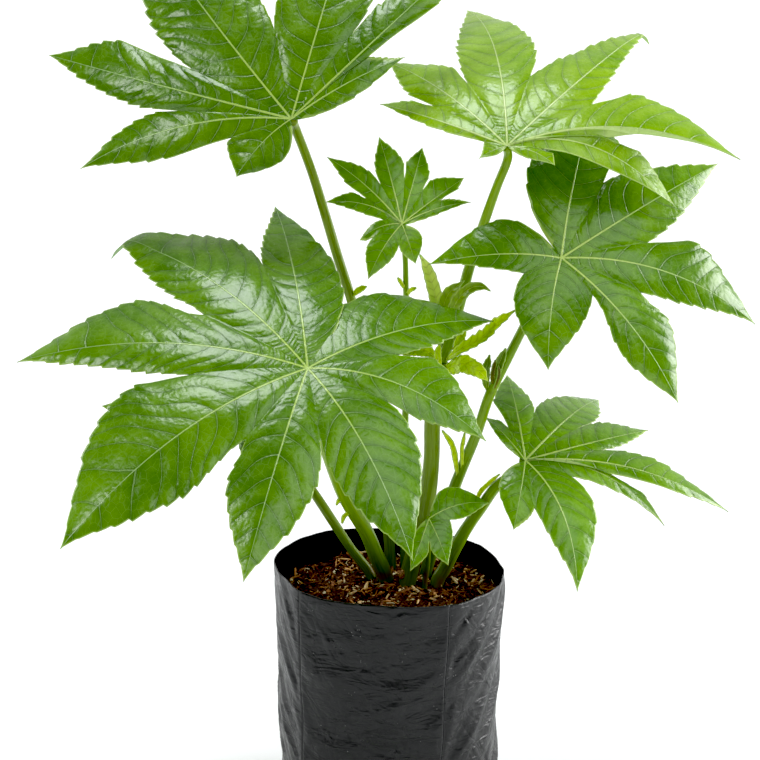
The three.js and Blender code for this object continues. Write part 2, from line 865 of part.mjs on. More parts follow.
// Gives a sheet of triangles a thickness: the upper face, the same triangles
// on the lower face, and a wall along every open edge
function thickened(faces, thickness) {
  const keys = new Map();
  const points = [];
  const indexOf = (point) => {
    const key = point.toArray().map((value) => Math.round(value * 500)).join();
    if (!keys.has(key)) {
      keys.set(key, points.length);
      points.push(point);
    }
    return keys.get(key);
  };
  const triangles = faces.map((face) => face.map(indexOf)).filter((face) => new Set(face).size === 3);
  const normals = points.map(() => new THREE.Vector3());
  for (const [a, b, c] of triangles) {
    const one = points[b].clone().sub(points[a]);
    const other = points[c].clone().sub(points[a]);
    const normal = one.cross(other);
    for (const corner of [a, b, c]) {
      normals[corner].add(normal);
    }
  }
  const below = points.map((point, i) => point.clone().addScaledVector(normals[i].normalize(), -thickness));
  const count = points.length;
  const index = [];
  const edges = new Set(triangles.flatMap(([a, b, c]) => [`${a},${b}`, `${b},${c}`, `${c},${a}`]));
  for (const [a, b, c] of triangles) {
    index.push(a, b, c, a + count, c + count, b + count);
    for (const [from, to] of [[a, b], [b, c], [c, a]]) {
      if (!edges.has(`${to},${from}`)) {
        index.push(from, from + count, to, to, from + count, to + count);
      }
    }
  }
  const geometry = new THREE.BufferGeometry().setFromPoints([...points, ...below]);
  geometry.setIndex(index);
  return geometry;
}

function leafBlade(leaf) {
  const axes = bladeAxes(leaf.facing);
  const faces = [];
  leaf.lobes.forEach((part, index) => {
    for (const side of [1, -1]) {
      addHalfLobe(faces, leaf, axes, halfLobe(leaf, index, side));
    }
  });
  return thickened(faces, BLADE_THICKNESS);
}

// A narrow blade folded along its middle, on a short flat stalk
function youngLeaf({ points, half, fold, side }) {
  const line = new THREE.CatmullRomCurve3(points.map(vector), false, 'centripetal');
  const { out } = bladeAxes(side);
  const rows = [];
  for (let k = 0; k <= YOUNG_ROWS; k += 1) {
    const share = k / YOUNG_ROWS;
    const middle = line.getPointAt(share);
    const across = line.getTangentAt(share).cross(out).normalize();
    const swell = Math.max(0, (share - 0.22) / 0.78);
    const width = YOUNG_STALK + (half - YOUNG_STALK) * 2.6 * swell ** 0.8 * (1 - swell) ** 0.9;
    const wing = radians(fold);
    const step = (turn) => middle.clone()
      .addScaledVector(across, turn * width * Math.cos(wing))
      .addScaledVector(out, width * Math.sin(wing));
    rows.push(k < YOUNG_ROWS ? [step(-1), middle, step(1)] : [middle]);
  }
  const faces = [];
  for (let k = 0; k < YOUNG_ROWS; k += 1) {
    const [near, far] = [rows[k], rows[k + 1]];
    for (const j of [0, 1]) {
      const tip = far.length === 1;
      faces.push([near[j], near[j + 1], tip ? far[0] : far[j + 1]]);
      if (!tip) {
        faces.push([near[j], far[j + 1], far[j]]);
      }
    }
  }
  return thickened(faces, YOUNG_THICKNESS);
}

const aralia = new THREE.Group();

aralia.add(node('grow_bag', growBag(), material('bag', 0.4)));

const stemClearances = [caneGeometry(SEAT_GAP)];
for (const name of Object.keys(STALKS)) {
  if (!STALKS[name].onCane) {
    stemClearances.push(stalkGeometry(name, SEAT_GAP));
  }
}
aralia.add(node('potting_mix', cutClear(mixBody(), stemClearances), material('mix', 0.95)));

aralia.add(node('main_cane', closedGeometry(caneGeometry()), material('cane', 0.5)));

for (const [name, stalk] of Object.entries(STALKS)) {
  const geometry = stalkGeometry(name);
  const seated = stalk.onCane ? cutClear(geometry, [caneGeometry(SEAT_GAP)]) : closedGeometry(geometry);
  aralia.add(node(`stalk_${name}`, seated, material(stalk.colour, 0.5)));
}

for (const [name, leaf] of Object.entries(LEAVES)) {
  aralia.add(node(`leaf_${name}`, closedGeometry(leafBlade(leaf)), material(leaf.colour, 0.35)));
}

for (const young of YOUNG) {
  const carriers = young.on.map((name) => (
    name === 'cane' ? caneGeometry(SEAT_GAP) : stalkGeometry(name, SEAT_GAP)
  ));
  const geometry = cutClear(youngLeaf(young), carriers);
  aralia.add(node(young.name, geometry, material(young.colour, 0.4)));
}

export default aralia;
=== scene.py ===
import math

import bpy
import numpy as np
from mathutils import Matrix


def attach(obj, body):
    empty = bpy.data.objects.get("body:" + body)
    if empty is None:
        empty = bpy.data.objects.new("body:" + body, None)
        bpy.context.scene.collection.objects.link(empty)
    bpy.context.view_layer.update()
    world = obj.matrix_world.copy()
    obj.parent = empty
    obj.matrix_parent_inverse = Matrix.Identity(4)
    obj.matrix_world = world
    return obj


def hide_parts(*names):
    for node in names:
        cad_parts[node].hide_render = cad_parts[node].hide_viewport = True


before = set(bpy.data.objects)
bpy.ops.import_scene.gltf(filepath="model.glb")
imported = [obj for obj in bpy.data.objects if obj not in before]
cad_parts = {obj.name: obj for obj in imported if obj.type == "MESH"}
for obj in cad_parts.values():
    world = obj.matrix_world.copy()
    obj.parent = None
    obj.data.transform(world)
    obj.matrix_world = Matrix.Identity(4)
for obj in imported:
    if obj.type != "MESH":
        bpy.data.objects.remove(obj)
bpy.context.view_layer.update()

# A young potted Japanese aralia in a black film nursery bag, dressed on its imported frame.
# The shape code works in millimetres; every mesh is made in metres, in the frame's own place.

MM = 0.001

# Sizes in millimetres, turns in degrees, and shares of a length
BAG_HEIGHT = 180.0
RIM_RADIUS = 80.0
BASE_RADIUS = 76.0
BASE_TUCK = 3.0
RIM_TILT = 4.0
FOLD_TURNS = (-50.0, 30.0, 130.0, 210.0)
FOLD_RIDGE = 1.1
FOLD_LEAN = 5.0
PANEL_FLAT = 1.6
FILM_SHOWN = 0.7
# Star creases: place round the front, height, depth and spin
FILM_STARS = ((3, 154, 1.5, 0.3), (-50, 156, 1.2, 1.2), (14, 118, 1.0, 0.8), (-22, 84, 0.9, 2.0),
              (20, 60, 1.0, 0.1))
# Folds of the front and back, the right and the left: the way across in degrees, spacing and depth
LEVEL_FOLDS = ((86, 24, 0.8), (100, 13, 0.45), (62, 42, 1.6), (128, 38, 1.5))
RISING_FOLDS = ((140, 19, 1.8), (150, 31, 1.7), (133, 9, 0.5))
FALLING_FOLDS = ((42, 13, 1.5), (55, 7.5, 0.6), (30, 21, 1.5))
MIX_HEIGHT = 163.0
MIX_RELIEF = 1.2
MIX_GAP = 1.55
CHIP_COUNT = 3300
CHIP_REACH = 74.0
# Rings of a chip: place along it and share of its width
CHIP_RINGS = ((-0.42, 0.6), (-0.15, 1.0), (0.2, 0.9), (0.44, 0.45))
CHIP_SIDES = 6
CRUMB_TONE = (0.08, 0.5)

ROOT_DEPTH = 22.0
ROOT_LEAN = 0.1
STALK_LEAD = 14.0
STALK_SINK = 0.3
STEM_RINGS = 90
STEM_SIDES = 28

WEB_SHARE = 0.28
RIB_RISE = 0.12
WEB_PLEAT = -0.03
HALF_ARCH = 0.07
MARGIN_HANG = 0.15
TIP_POWER = 1.3
FREE_WIDEST = 1 / (1 + TIP_POWER)
OUTER_WIDEST = 0.43
OUTER_START = 0.04
OUTER_START_TURN = 50.0
SEAM_CLEARANCE = 0.6
SEAM_PAST = 9.0
TOOTH_SPACING = 24.0
TOOTH_DEPTH = 0.016
TOOTH_REACH = 0.8
SHEET = 0.5
COLUMNS = np.array([0, 0.025, 0.06, 0.12, 0.2, 0.29, 0.38, 0.47, 0.56, 0.65, 0.74, 0.82, 0.89, 0.95, 1.0])
TOOTH_ROWS = (0.2, 0.4, 0.6, 0.8, 1.0)
WEB_ROWS = 16

YOUNG_STALK = 0.9
YOUNG_SHEET = 0.7
YOUNG_ROWS = 40
YOUNG_COLUMNS = 13

VEIN_COUNT = 15.0
VEIN_POWER = 0.55
VEIN_LEAN = (0.1, 0.5)
VEIN_SWEEP = 0.5
VEIN_SWELL = 0.024
BILLOW = 1.8
RIB_HALF = 0.7
VEIN_HALF = 0.44
YOUNG_VEIN_SPACING = 5.5
NET_CELLS, FINE_NET_CELLS = 0.2, 0.55

SCAR_CENTRE = np.array([8.9, 6.2, 172.4])
SCAR_SIZE = np.array([2.5, 2.3, 3.2])

# What one unit of each UV layer stands for, in millimetres
LOBE_MAP = 200.0
SPACING_MAP = 50.0
RIM_MAP = 25.0
LENGTH_MAP = 100.0
FOLD_MAP = 10.0


def lobe(heading, length, bow, drop, left, right, curl=0.0, hook=(0, 0)):
    return dict(heading=heading, length=length, bow=bow, drop=drop, left=left, right=right, curl=curl, hook=hook)


# Each leaf: its hub, the way its upper face looks, its lobes in order, and the notches between them, with
# heading and reach. Lobes part at once at an open notch, and may lap a little past a loose one.
LEAVES = {
    "upper_left": dict(
        hub=(-65, -10, 496), facing=(-8, 30), finish="green",
        lobes=[lobe(-132, 52, -2, 0.15, 18, 17), lobe(-169, 150, -8, 0.18, 18, 15),
               lobe(163, 187, 5, 0.15, 16, 29), lobe(128, 213, 4, 0.15, 32, 32),
               lobe(81, 190, -3, 0.15, 31, 28), lobe(51, 169, -4, 0.15, 16, 14),
               lobe(35, 87, 1, 0.12, 5, 11)],
        notches=[(-161.3, 41.4), (176.0, 77.8), (153.9, 78.1), (104.7, 66.1), (59.9, 70.7), (44.3, 66.6)]),
    "upper_right": dict(
        hub=(77, -12, 478.5), facing=(-6, 48), finish="bright",
        lobes=[lobe(-157, 20, 0, 0.2, 4, 4), lobe(150, 104, 4, 0.2, 6, 11), lobe(133, 128, 0, 0.2, 14, 21),
               lobe(102, 191, -7, 0.38, 23, 27), lobe(59, 183, -8, 0.3, 20, 10, 0.03, (0, 14)),
               lobe(10, 158, 9, 0.28, 34, 9), lobe(-2, 112, 11, 0.5, 19, 16),
               lobe(-20, 34, 2, 0.15, 10, 6)],
        notches=[(166, 16), (143.6, 64.0), (117.1, 64.2), (78.9, 65.8), (36.7, 68.4), (15.4, 67.6), (-2.1, 21.7)]),
    "right": dict(
        hub=(114, -16, 404), facing=(12, 33), finish="mid",
        lobes=[lobe(175, 86, -2, 0.25, 8, 26), lobe(-102, 75, -4, 0.2, 21, 23),
               lobe(-53, 123, 4, 0.2, 26, 18), lobe(-16, 149, 9, 0.25, 31, 15),
               lobe(30, 155, -1, 0.2, 22, 17), lobe(68, 132, 5, 0.2, 32, 32)],
        open=(2,), loose=(1,), notches=[(-160.8, 28.5), (-56.5, 32.5), (-26.3, 58.5), (8.6, 63.5), (54.7, 66.9)]),
    "lower_left": dict(
        hub=(-53, -90, 347.5), facing=(5, 50), finish="green",
        lobes=[lobe(95, 162, -2, 0.2, 15, 31), lobe(132, 192, -6, 0.2, 22, 37, 0.06, (6, 20)),
               lobe(168, 193, -6, 0.22, 18, 40), lobe(-146, 190, -8, 0.2, 32, 50),
               lobe(-108, 146, 0, 0.2, 26, 25), lobe(-64, 138, 4, 0.25, 32, 24),
               lobe(-19, 121, 8, 0.25, 32, 15), lobe(24, 141, 3, 0.22, 38, 14)],
        open=(1, 3),
        notches=[(105.7, 93.8), (144.1, 80.4), (-179.2, 74.6), (-128.7, 66.4), (-84.1, 52.7), (-26.3, 54.4),
                 (11.3, 59.8)]),
    "lower_right": dict(
        hub=(91.5, -30, 267.5), facing=(15, 55), finish="light",
        lobes=[lobe(-111, 51, 0, 0.25, 8, 15), lobe(-79, 93, 7, 0.3, 24, 12),
               lobe(-21, 106, 8, 0.35, 10, 7), lobe(-9, 156, 3, 0.3, 17, 8),
               lobe(20, 116, -6, 0.25, 16, 7), lobe(44, 126, -2, 0.4, 21, 13),
               lobe(81, 92, 1, 0.2, 14, 12), lobe(107, 50, 1, 0.2, 5, 8)],
        notches=[(-93.9, 36.9), (-27.6, 33.0), (-11.4, 60.1), (6.9, 55.9), (31.1, 55.3), (66.3, 47.1), (96.7, 31.0)]),
    "rear_left": dict(
        hub=(-98.5, 42, 282), facing=(-12, 45), finish="dark",
        lobes=[lobe(82, 90, 0, 0.15, 17, 17), lobe(123, 85, 0, 0.15, 16, 16),
               lobe(177, 117, 2, 0.15, 20, 20), lobe(-150, 86, 0, 0.15, 11, 17),
               lobe(-76, 72, 0, 0.15, 14, 9)],
        notches=[(103.4, 39.2), (147.6, 45.5), (-168.6, 43.1), (-115, 12)]),
    "top_small": dict(
        hub=(8, 0, 424), facing=(5, 25), finish="light",
        lobes=[lobe(-72, 28, 0, 0.2, 10, 6), lobe(-123, 43, -2, 0.2, 8, 9),
               lobe(-162, 30, -3, 0.25, 4, 4), lobe(160, 54, -5, 0.2, 6, 7),
               lobe(134, 70, -2, 0.15, 7, 9), lobe(101, 65, 0, 0.15, 8, 11),
               lobe(73, 58, 0, 0.15, 8, 9), lobe(37, 56, 0, 0.15, 11, 5),
               lobe(19, 52, 2, 0.2, 4, 4)],
        notches=[(-99.6, 14.5), (-156.3, 21.5), (166.0, 12.9), (142.0, 29.4), (115.5, 30.8), (84.4, 32.2),
                 (57.4, 28.1), (31.3, 32.0)]),
    "base_small": dict(
        hub=(26.5, -36, 228), facing=(10, 40), finish="light",
        lobes=[lobe(-115, 38, 0, 0.2, 7, 6), lobe(-72, 34, 0, 0.2, 10, 7), lobe(16, 48, 3, 0.25, 15, 9)],
        notches=[(-95, 16), (-5.9, 14.3)]),
}

CANE = dict(
    points=[(12.5, 10, 164), (20, 9, 197), (26, 8, 227), (29, 7, 256), (29.5, 5, 285), (32, 3, 308), (35, 0, 328)],
    radii=(6.2, 5.4))

STALKS = {
    "upper_left": dict(
        points=[(1, 46, 164), (-2.5, 48, 214), (-7.5, 46, 266), (-16.5, 40, 323), (-27.5, 34, 367),
                (-36, 30, 396), (-44, 26, 425), (-53, 18, 457)],
        radii=(4.2, 3.1), finish="dark"),
    "upper_right": dict(
        points=[(35.2, -0.2, 329), (40, 0, 342), (48, 0, 372), (53.5, 0, 394), (61.5, 0, 420), (71.5, -1, 450)],
        radii=(4.1, 2.8), finish="plain", on_cane=True),
    "right": dict(
        points=[(26, 30, 164), (36, 25, 199), (47, 13, 239), (60, 0, 278), (68.5, -4, 307), (80, -5, 332),
                (91, -5, 355), (104, -4, 382)],
        radii=(4.5, 2.8), finish="plain"),
    "lower_left": dict(
        points=[(-2.5, 15, 164), (-9.5, 5, 187), (-17, -5, 209), (-31, -22, 240), (-42, -44, 278), (-49, -66, 312)],
        radii=(6, 3.8), finish="plain"),
    "lower_right": dict(
        points=[(34, 15, 164), (39, 14, 174), (52, 7, 203), (63, 0, 223), (74, -10, 243), (82, -17, 251)],
        radii=(5.2, 3.2), finish="plain"),
    "rear_left": dict(
        points=[(-13, 23, 164), (-28, 24, 186), (-42, 28, 207), (-54, 34, 224), (-71, 44, 245), (-89, 54, 262)],
        radii=(3.7, 3), finish="dark"),
    "top_small": dict(
        points=[(10.5, 47, 164), (10.5, 42, 215), (11, 34, 270), (11.5, 26, 323), (11, 18, 377), (10, 15, 402)],
        radii=(2.7, 1.8), finish="plain"),
    "base_small": dict(
        points=[(24.5, 4, 164), (26.5, -5, 186), (26.5, -18, 207)],
        radii=(2.2, 1.5), finish="plain"),
}

# Young leaves and bracts: half-width, fold of the two halves, the way the open side looks, and the middle line
YOUNG = {
    "young_leaf_pale": (6, 25, (10, 0), "pale",
        [(34, 1, 334), (33.4, 2, 356), (31.3, 3, 371), (28.5, 3, 382.5), (24.4, 3, 394.5), (20, 2, 403)]),
    "young_leaf_wrap_left": (5.5, 20, (-10, 20), "olive",
        [(35, 0, 337), (34.5, -5.5, 357.5), (36.4, -7, 370), (39.7, -8, 378), (45, -9, 383), (50, -8, 387)]),
    "young_leaf_wrap_right": (5, 20, (0, 30), "olive",
        [(39, -1, 341), (40.5, -9, 358), (43.5, -13, 371), (48.5, -15, 379), (55, -15, 383.5), (62, -14, 384),
         (68, -13, 380.5)]),
    "young_leaf_bright_long": (6, 30, (-10, 40), "young",
        [(36, -1, 328), (44.7, -11, 337.5), (52.6, -14, 343.5), (62, -15, 349), (71, -15, 358), (84, -15, 368.5)],
        0.08, 0.4),
    "young_leaf_bright_low": (8.2, 8, (0, 35), "young",
        [(35, -1, 322), (43, -14, 329), (49, -20, 332), (55, -22, 330.5), (61, -22, 326.5), (66.5, -21, 320)],
        0.04),
    "young_leaf_upright": (4, 25, (0, 20), "young",
        [(40, -1, 338), (44.2, -6, 340), (46.8, -8.5, 345), (48.7, -9, 350), (50.5, -9, 355)]),
    "young_leaf_rear": (6.4, 20, (0, 30), "young",
        [(34.5, 2, 326), (27.5, 10, 332), (19.5, 14, 333.5), (12.5, 16, 332.5), (5, 17, 330)]),
    "bract_pale": (3, 20, (0, 10), "young",
        [(35, 0, 322), (33, -7, 331), (32.5, -8, 337), (34, -8, 343)]),
    "shoot_leaf_short": (3.6, 25, (0, 20), "olive",
        [(67.5, -1, 304), (65.2, -8, 317), (65, -9.5, 325), (66.4, -10, 331), (67.6, -10, 336)]),
    "shoot_leaf_tall": (4, 25, (0, 10), "olive",
        [(70, -3, 309), (71.5, -11, 320), (72.5, -13.5, 327), (75, -14, 334), (78.5, -13, 341.5)]),
    "shoot_low_left": (2.2, 30, (0, 10), "young",
        [(48, 12, 237), (46, 4, 254), (43, 1, 269), (36, -1, 280)]),
    "shoot_low_right": (1.6, 30, (20, 10), "young",
        [(50, 11, 244), (50, 3, 256), (50, 1, 268), (52, 0, 278)]),
    "sheath_lower_right": (1.8, 20, (0, 30), "young",
        [(58, 3, 214), (62, -6, 236), (69, -14, 247), (75, -18, 254)]),
    "stipule_upper": (1.8, 30, (0, 30), "young",
        [(-25, -15, 227), (-30, -21, 235.5), (-34, -23, 237), (-37, -23, 233)]),
    "stipule_lower": (1.6, 30, (0, 30), "young",
        [(-22, -11, 219), (-27, -18, 226), (-31, -20, 224.5), (-33, -21, 219)]),
    "bract_upper_left": (2.6, 15, (0, 30), "young",
        [(-27, 34, 365), (-22.5, 30, 371), (-16, 28, 375)]),
    "bract_top_left": (1.4, 20, (0, 20), "young",
        [(11, 18.5, 374), (8.5, 15, 379), (5.5, 14, 384)]),
    "bract_top_right": (1.6, 20, (0, 20), "young",
        [(11, 19, 369), (14, 15, 375), (18, 14, 377)]),
}

# Dried brown scales at the side shoot, which only the scene has
DRIED_SCALES = {
    "dried_scale_left": (1.6, 20, (0, 10), "dried",
        [(70, -8, 315), (69.4, -13.5, 321), (69.8, -16, 327), (71.2, -16.5, 334)], 0.1),
    "dried_scale_right": (1.3, 25, (20, 10), "dried",
        [(71, -9, 312), (72.4, -14.5, 318), (73.6, -16.5, 324), (73.2, -17, 330)], 0.1),
}


# Small helpers
def unit(v):
    return v / np.linalg.norm(v)


def units(rows):
    return rows / np.linalg.norm(rows, axis=1, keepdims=True)


def facing_axes(facing):
    """Across to the right, up the blade, and out of its upper face."""
    turn, height = (math.radians(a) for a in facing)
    out = np.array([math.sin(turn) * math.cos(height), -math.cos(turn) * math.cos(height), math.sin(height)])
    right = unit(np.cross([0, 0, 1], out))
    return right, np.cross(out, right), out


def soft_step(value, low, high):
    t = np.clip((value - low) / (high - low), 0, 1)
    return t * t * (3 - 2 * t)


def patches(u, v, seed):
    """Smooth seeded unevenness from 0 to 1 over a plane, one patch per unit."""
    table = np.random.default_rng(seed).random((64, 64))
    iu, iv = np.floor(u).astype(int), np.floor(v).astype(int)
    fu, fv = u - iu, v - iv
    fu, fv = fu * fu * (3 - 2 * fu), fv * fv * (3 - 2 * fv)
    a = table[iu % 64, iv % 64] * (1 - fu) + table[(iu + 1) % 64, iv % 64] * fu
    b = table[iu % 64, (iv + 1) % 64] * (1 - fu) + table[(iu + 1) % 64, (iv + 1) % 64] * fu
    return a * (1 - fv) + b * fv


def smooth_line(points, count):
    """Points spaced evenly along a smooth line through the given points."""
    p = np.array(points, float)
    ends = np.vstack([2 * p[0] - p[1], p, 2 * p[-1] - p[-2]])
    t = np.linspace(0, 1, 40, endpoint=False)[:, None]
    dense = []
    for k in range(len(p) - 1):
        a, b, c, d = ends[k:k + 4]
        ab, bc, cd = (np.linalg.norm(v) ** 0.5 for v in (b - a, c - b, d - c))
        start = (c - b) + bc * ((b - a) / ab - (c - a) / (ab + bc))
        stop = (c - b) + bc * ((d - c) / cd - (d - b) / (bc + cd))
        dense.append((2 * t ** 3 - 3 * t ** 2 + 1) * b + (t ** 3 - 2 * t ** 2 + t) * start
                     + (3 * t ** 2 - 2 * t ** 3) * c + (t ** 3 - t ** 2) * stop)
    dense = np.vstack(dense + [p[-1:]])
    run = np.concatenate([[0], np.cumsum(np.linalg.norm(np.diff(dense, axis=0), axis=1))])
    spots = np.linspace(0, run[-1], count)
    return np.stack([np.interp(spots, run, dense[:, i]) for i in range(3)], 1), run[-1]


def tube_faces(rings, sides):
    """Faces of a closed tube: rings of points one after another, then the point at each end."""
    faces = [[k * sides + j, k * sides + (j + 1) % sides, (k + 1) * sides + (j + 1) % sides, (k + 1) * sides + j]
             for k in range(rings - 1) for j in range(sides)]
    for j in range(sides):
        jj = (j + 1) % sides
        faces += [[jj, j, rings * sides], [(rings - 1) * sides + j, (rings - 1) * sides + jj, rings * sides + 1]]
    return faces


def turned_faces(rows, sectors):
    """Faces of a form turned from a profile that starts and ends on the axis.

    Returns the points that are used, the faces, and the row and column of each face's corners.
    """
    index = np.arange(rows * sectors).reshape(rows, sectors)
    index[0], index[-1] = index[0, 0], index[-1, 0]
    faces, spots = [], []
    for r in range(rows - 1):
        for c in range(sectors):
            ring = {}
            for row, column in ((r, c), (r, c + 1), (r + 1, c + 1), (r + 1, c)):
                ring.setdefault(int(index[row, column % sectors]), (row, column))
            faces.append(list(ring))
            spots.append(list(ring.values()))
    used = sorted({v for face in faces for v in face})
    renumber = {v: i for i, v in enumerate(used)}
    return used, [[renumber[v] for v in face] for face in faces], spots


def new_object(name, data):
    made = bpy.data.objects.new(name, data)
    bpy.context.scene.collection.objects.link(made)
    return made


def make_piece(name, points, faces, maps, finishes, stands_for, face_finish=None):
    """Makes one mesh piece in the frame. maps: UV layer name to one pair for each face corner."""
    mesh = bpy.data.meshes.new(name)
    mesh.from_pydata((np.asarray(points) * MM).tolist(), [], faces)
    for layer_name, pairs in maps.items():
        layer = mesh.uv_layers.new(name=layer_name)
        layer.data.foreach_set("uv", np.asarray(pairs, np.float32).ravel())
    mesh.polygons.foreach_set("use_smooth", [True] * len(mesh.polygons))
    for finish in finishes:
        mesh.materials.append(finish)
    if face_finish is not None:
        mesh.polygons.foreach_set("material_index", face_finish)
    mesh.update()
    piece = new_object(name, mesh)
    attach(piece, "root")
    if stands_for:
        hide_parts(stands_for)


def closed_sheet(grids, thickness):
    """Joins grids of points into one thin closed sheet.

    Each grid is (points, maps, depth): rows by columns of points, UV layers of the same rows and columns,
    and how far the lower face bulges out below each point. Returns points, faces, corner maps and, for each
    face, 0 on the upper side and 1 on the lower side and the rim.
    """
    flat = np.concatenate([g[0].reshape(-1, 3) for g in grids])
    bulge = np.concatenate([g[2].ravel() for g in grids])
    layers = {key: np.concatenate([g[1][key].reshape(-1, 2) for g in grids]) for key in grids[0][1]}
    keys = np.round(flat * 500).astype(np.int64)
    _, first, welded = np.unique(keys, axis=0, return_index=True, return_inverse=True)
    welded = welded.ravel()
    quads, start = [], 0
    for points, _, _ in grids:
        rows, cols = points.shape[:2]
        r, c = np.meshgrid(np.arange(rows - 1), np.arange(cols - 1), indexing="ij")
        a = start + (r * cols + c).ravel()
        quads.append(np.stack([a, a + 1, a + cols + 1, a + cols], 1))
        start += rows * cols
    quads = np.concatenate(quads)
    corners = []
    for quad in quads.tolist():
        seen, kept = set(), []
        for corner in quad:
            if welded[corner] not in seen:
                seen.add(welded[corner])
                kept.append(corner)
        if len(kept) > 2:
            corners.append(kept)
    top = flat[first]
    normals = np.zeros_like(top)
    tris = np.array([(w[0], w[i], w[i + 1]) for w in ([welded[c] for c in f] for f in corners)
                     for i in range(1, len(w) - 1)])
    cross = np.cross(top[tris[:, 1]] - top[tris[:, 0]], top[tris[:, 2]] - top[tris[:, 0]])
    for k in range(3):
        np.add.at(normals, tris[:, k], cross)
    normals /= np.maximum(np.linalg.norm(normals, axis=1, keepdims=True), 1e-9)
    count = len(top)
    points = np.concatenate([top, top - normals * (thickness + bulge[first])[:, None]])
    faces, picks, side, edges = [], [], [], {}
    for face in corners:
        ring = [int(welded[c]) for c in face]
        faces.append(ring)
        picks += face
        side.append(0)
        faces.append([v + count for v in reversed(ring)])
        picks += list(reversed(face))
        side.append(1)
        for i in range(len(ring)):
            j = (i + 1) % len(ring)
            edges[ring[i], ring[j]] = (face[i], face[j])
    for (a, b), (ca, cb) in edges.items():
        if (b, a) not in edges:
            faces.append([a, a + count, b + count, b])
            picks += [ca, ca, cb, cb]
            side.append(1)
    return points, faces, {key: value[picks] for key, value in layers.items()}, side


# Leaf blades
def rib_rise(part, share):
    curled = np.maximum(0, (share - 0.7) / 0.3) ** 2 * part["curl"]
    lifted, hooked = part["hook"]
    hook = lifted * soft_step(share, 0.74, 0.91) - hooked * np.maximum(0, (share - 0.91) / 0.09) ** 1.2
    return part["length"] * (RIB_RISE * share - (RIB_RISE + part["drop"]) * share * share - curled) + hook


def rib_bow(part, share):
    return part["bow"] * 4 * share * (1 - share)


def turn_between(start, stop):
    return (stop - start + 180) % 360 - 180


def seam_rise(leaf, seam, share):
    reach = leaf["notches"][seam][1]
    pair = leaf["lobes"][seam], leaf["lobes"][seam + 1]
    ribs = [rib_rise(part, np.minimum(reach * share / part["length"], 1)) for part in pair]
    return (ribs[0] + ribs[1]) / 2 + WEB_PLEAT * reach * share ** 1.5


def half_lobe(leaf, index, side):
    part = leaf["lobes"][index]
    order = 1 if turn_between(leaf["lobes"][0]["heading"], leaf["lobes"][1]["heading"]) > 0 else -1
    seam = index if side * order > 0 else index - 1
    half = part["left"] if side > 0 else part["right"]
    teeth = max(4, round(part["length"] / TOOTH_SPACING))
    found = dict(part=part, side=side, half=half, teeth=teeth, open=seam in leaf.get("open", ()),
                 past=SEAM_PAST if seam in leaf.get("loose", ()) else 0.0)
    if not 0 <= seam < len(leaf["notches"]):
        reach, turn = OUTER_START * part["length"], math.radians(OUTER_START_TURN)
        along = reach * math.cos(turn)
        return dict(found, seam=-1, widest=OUTER_WIDEST, along=along, aside=reach * math.sin(turn),
                    opening=None, rise=rib_rise(part, along / part["length"]))
    heading, distance = leaf["notches"][seam]
    opening = side * math.radians(turn_between(part["heading"], heading))
    along = distance * math.cos(opening)
    return dict(found, seam=seam, widest=FREE_WIDEST, opening=opening, along=along,
                aside=distance * math.sin(opening) - side * rib_bow(part, along / part["length"]),
                rise=seam_rise(leaf, seam, 1.0))


def web_edge(leaf, half, share):
    part, side, seam = half["part"], half["side"], half["seam"]
    x = half["along"] * share
    if seam < 0:
        return x, half["aside"] * share, 0 * share
    y = leaf["notches"][seam][1] * math.sin(half["opening"]) * share
    rib = x / part["length"]
    return x, y - side * rib_bow(part, rib), seam_rise(leaf, seam, share) - rib_rise(part, rib)


def free_edge(half, share, tooth):
    part, side, widest = half["part"], half["side"], half["widest"]
    power = TIP_POWER * widest / (1 - widest)
    swell = (share / widest) ** power * ((1 - share) / (1 - widest)) ** TIP_POWER
    depth = TOOTH_DEPTH * part["length"] * np.minimum(1, np.minimum(3 * (1 - share), 4 * share))
    x = half["along"] + (part["length"] - half["along"]) * share + 0.45 * depth * tooth
    y = half["aside"] * (1 - share) ** 1.5 + (half["half"] - half["aside"] * (1 - widest) ** 1.5) * swell
    if half["open"]:
        wide = half["aside"] + (half["half"] - half["aside"]) * soft_step(share, 0, 1.1 * widest)
        y = wide + (y - wide) * soft_step(share, 0.1 * widest, 0.95 * widest)
    y = y + depth * (0.72 * tooth - 0.42) + (0.1 * half["half"] * np.exp(-((share - 0.93) / 0.05) ** 2)
                                             * (part["hook"][1] > 0) * np.minimum(1, 14 * (1 - share)))
    if half["opening"] is not None:
        bow = side * rib_bow(part, np.minimum(x / part["length"], 1))
        seam = x * math.tan(half["opening"]) - SEAM_CLEARANCE * np.minimum(1, 6 * share) - bow
        if half["past"]:
            seam = seam + half["past"] * soft_step(share, 0, 0.45) + depth * (0.9 * tooth - 0.42)
        y = np.minimum(y, seam)
    hang = MARGIN_HANG * half["half"] * np.sin(np.pi * share)
    lift = (half["rise"] - rib_rise(part, half["along"] / part["length"])) * (1 - share) ** 2 - hang
    return x, np.maximum(y, 0), lift


def side_veins(x, aside, length, half, shift, seed):
    """Counts the side veins outwards from the hub, a whole number on each, and gives their spacing."""
    lean = VEIN_LEAN[0] + (VEIN_LEAN[1] - VEIN_LEAN[0]) * np.clip(x / 80, 0, 1)
    reach = np.maximum(x - lean * aside - VEIN_SWEEP * aside ** 2 / half, 0.5) / length
    number = VEIN_COUNT * max(0.5, (length / 190) ** 0.6)
    wander = (patches(x / 30 + 20, aside / 30 + 20, seed) - 0.5) * 1.1 * np.clip(x / 60, 0, 1)
    spacing = length * reach ** (1 - VEIN_POWER) / (number * VEIN_POWER)
    return number * reach ** VEIN_POWER + shift + wander, spacing


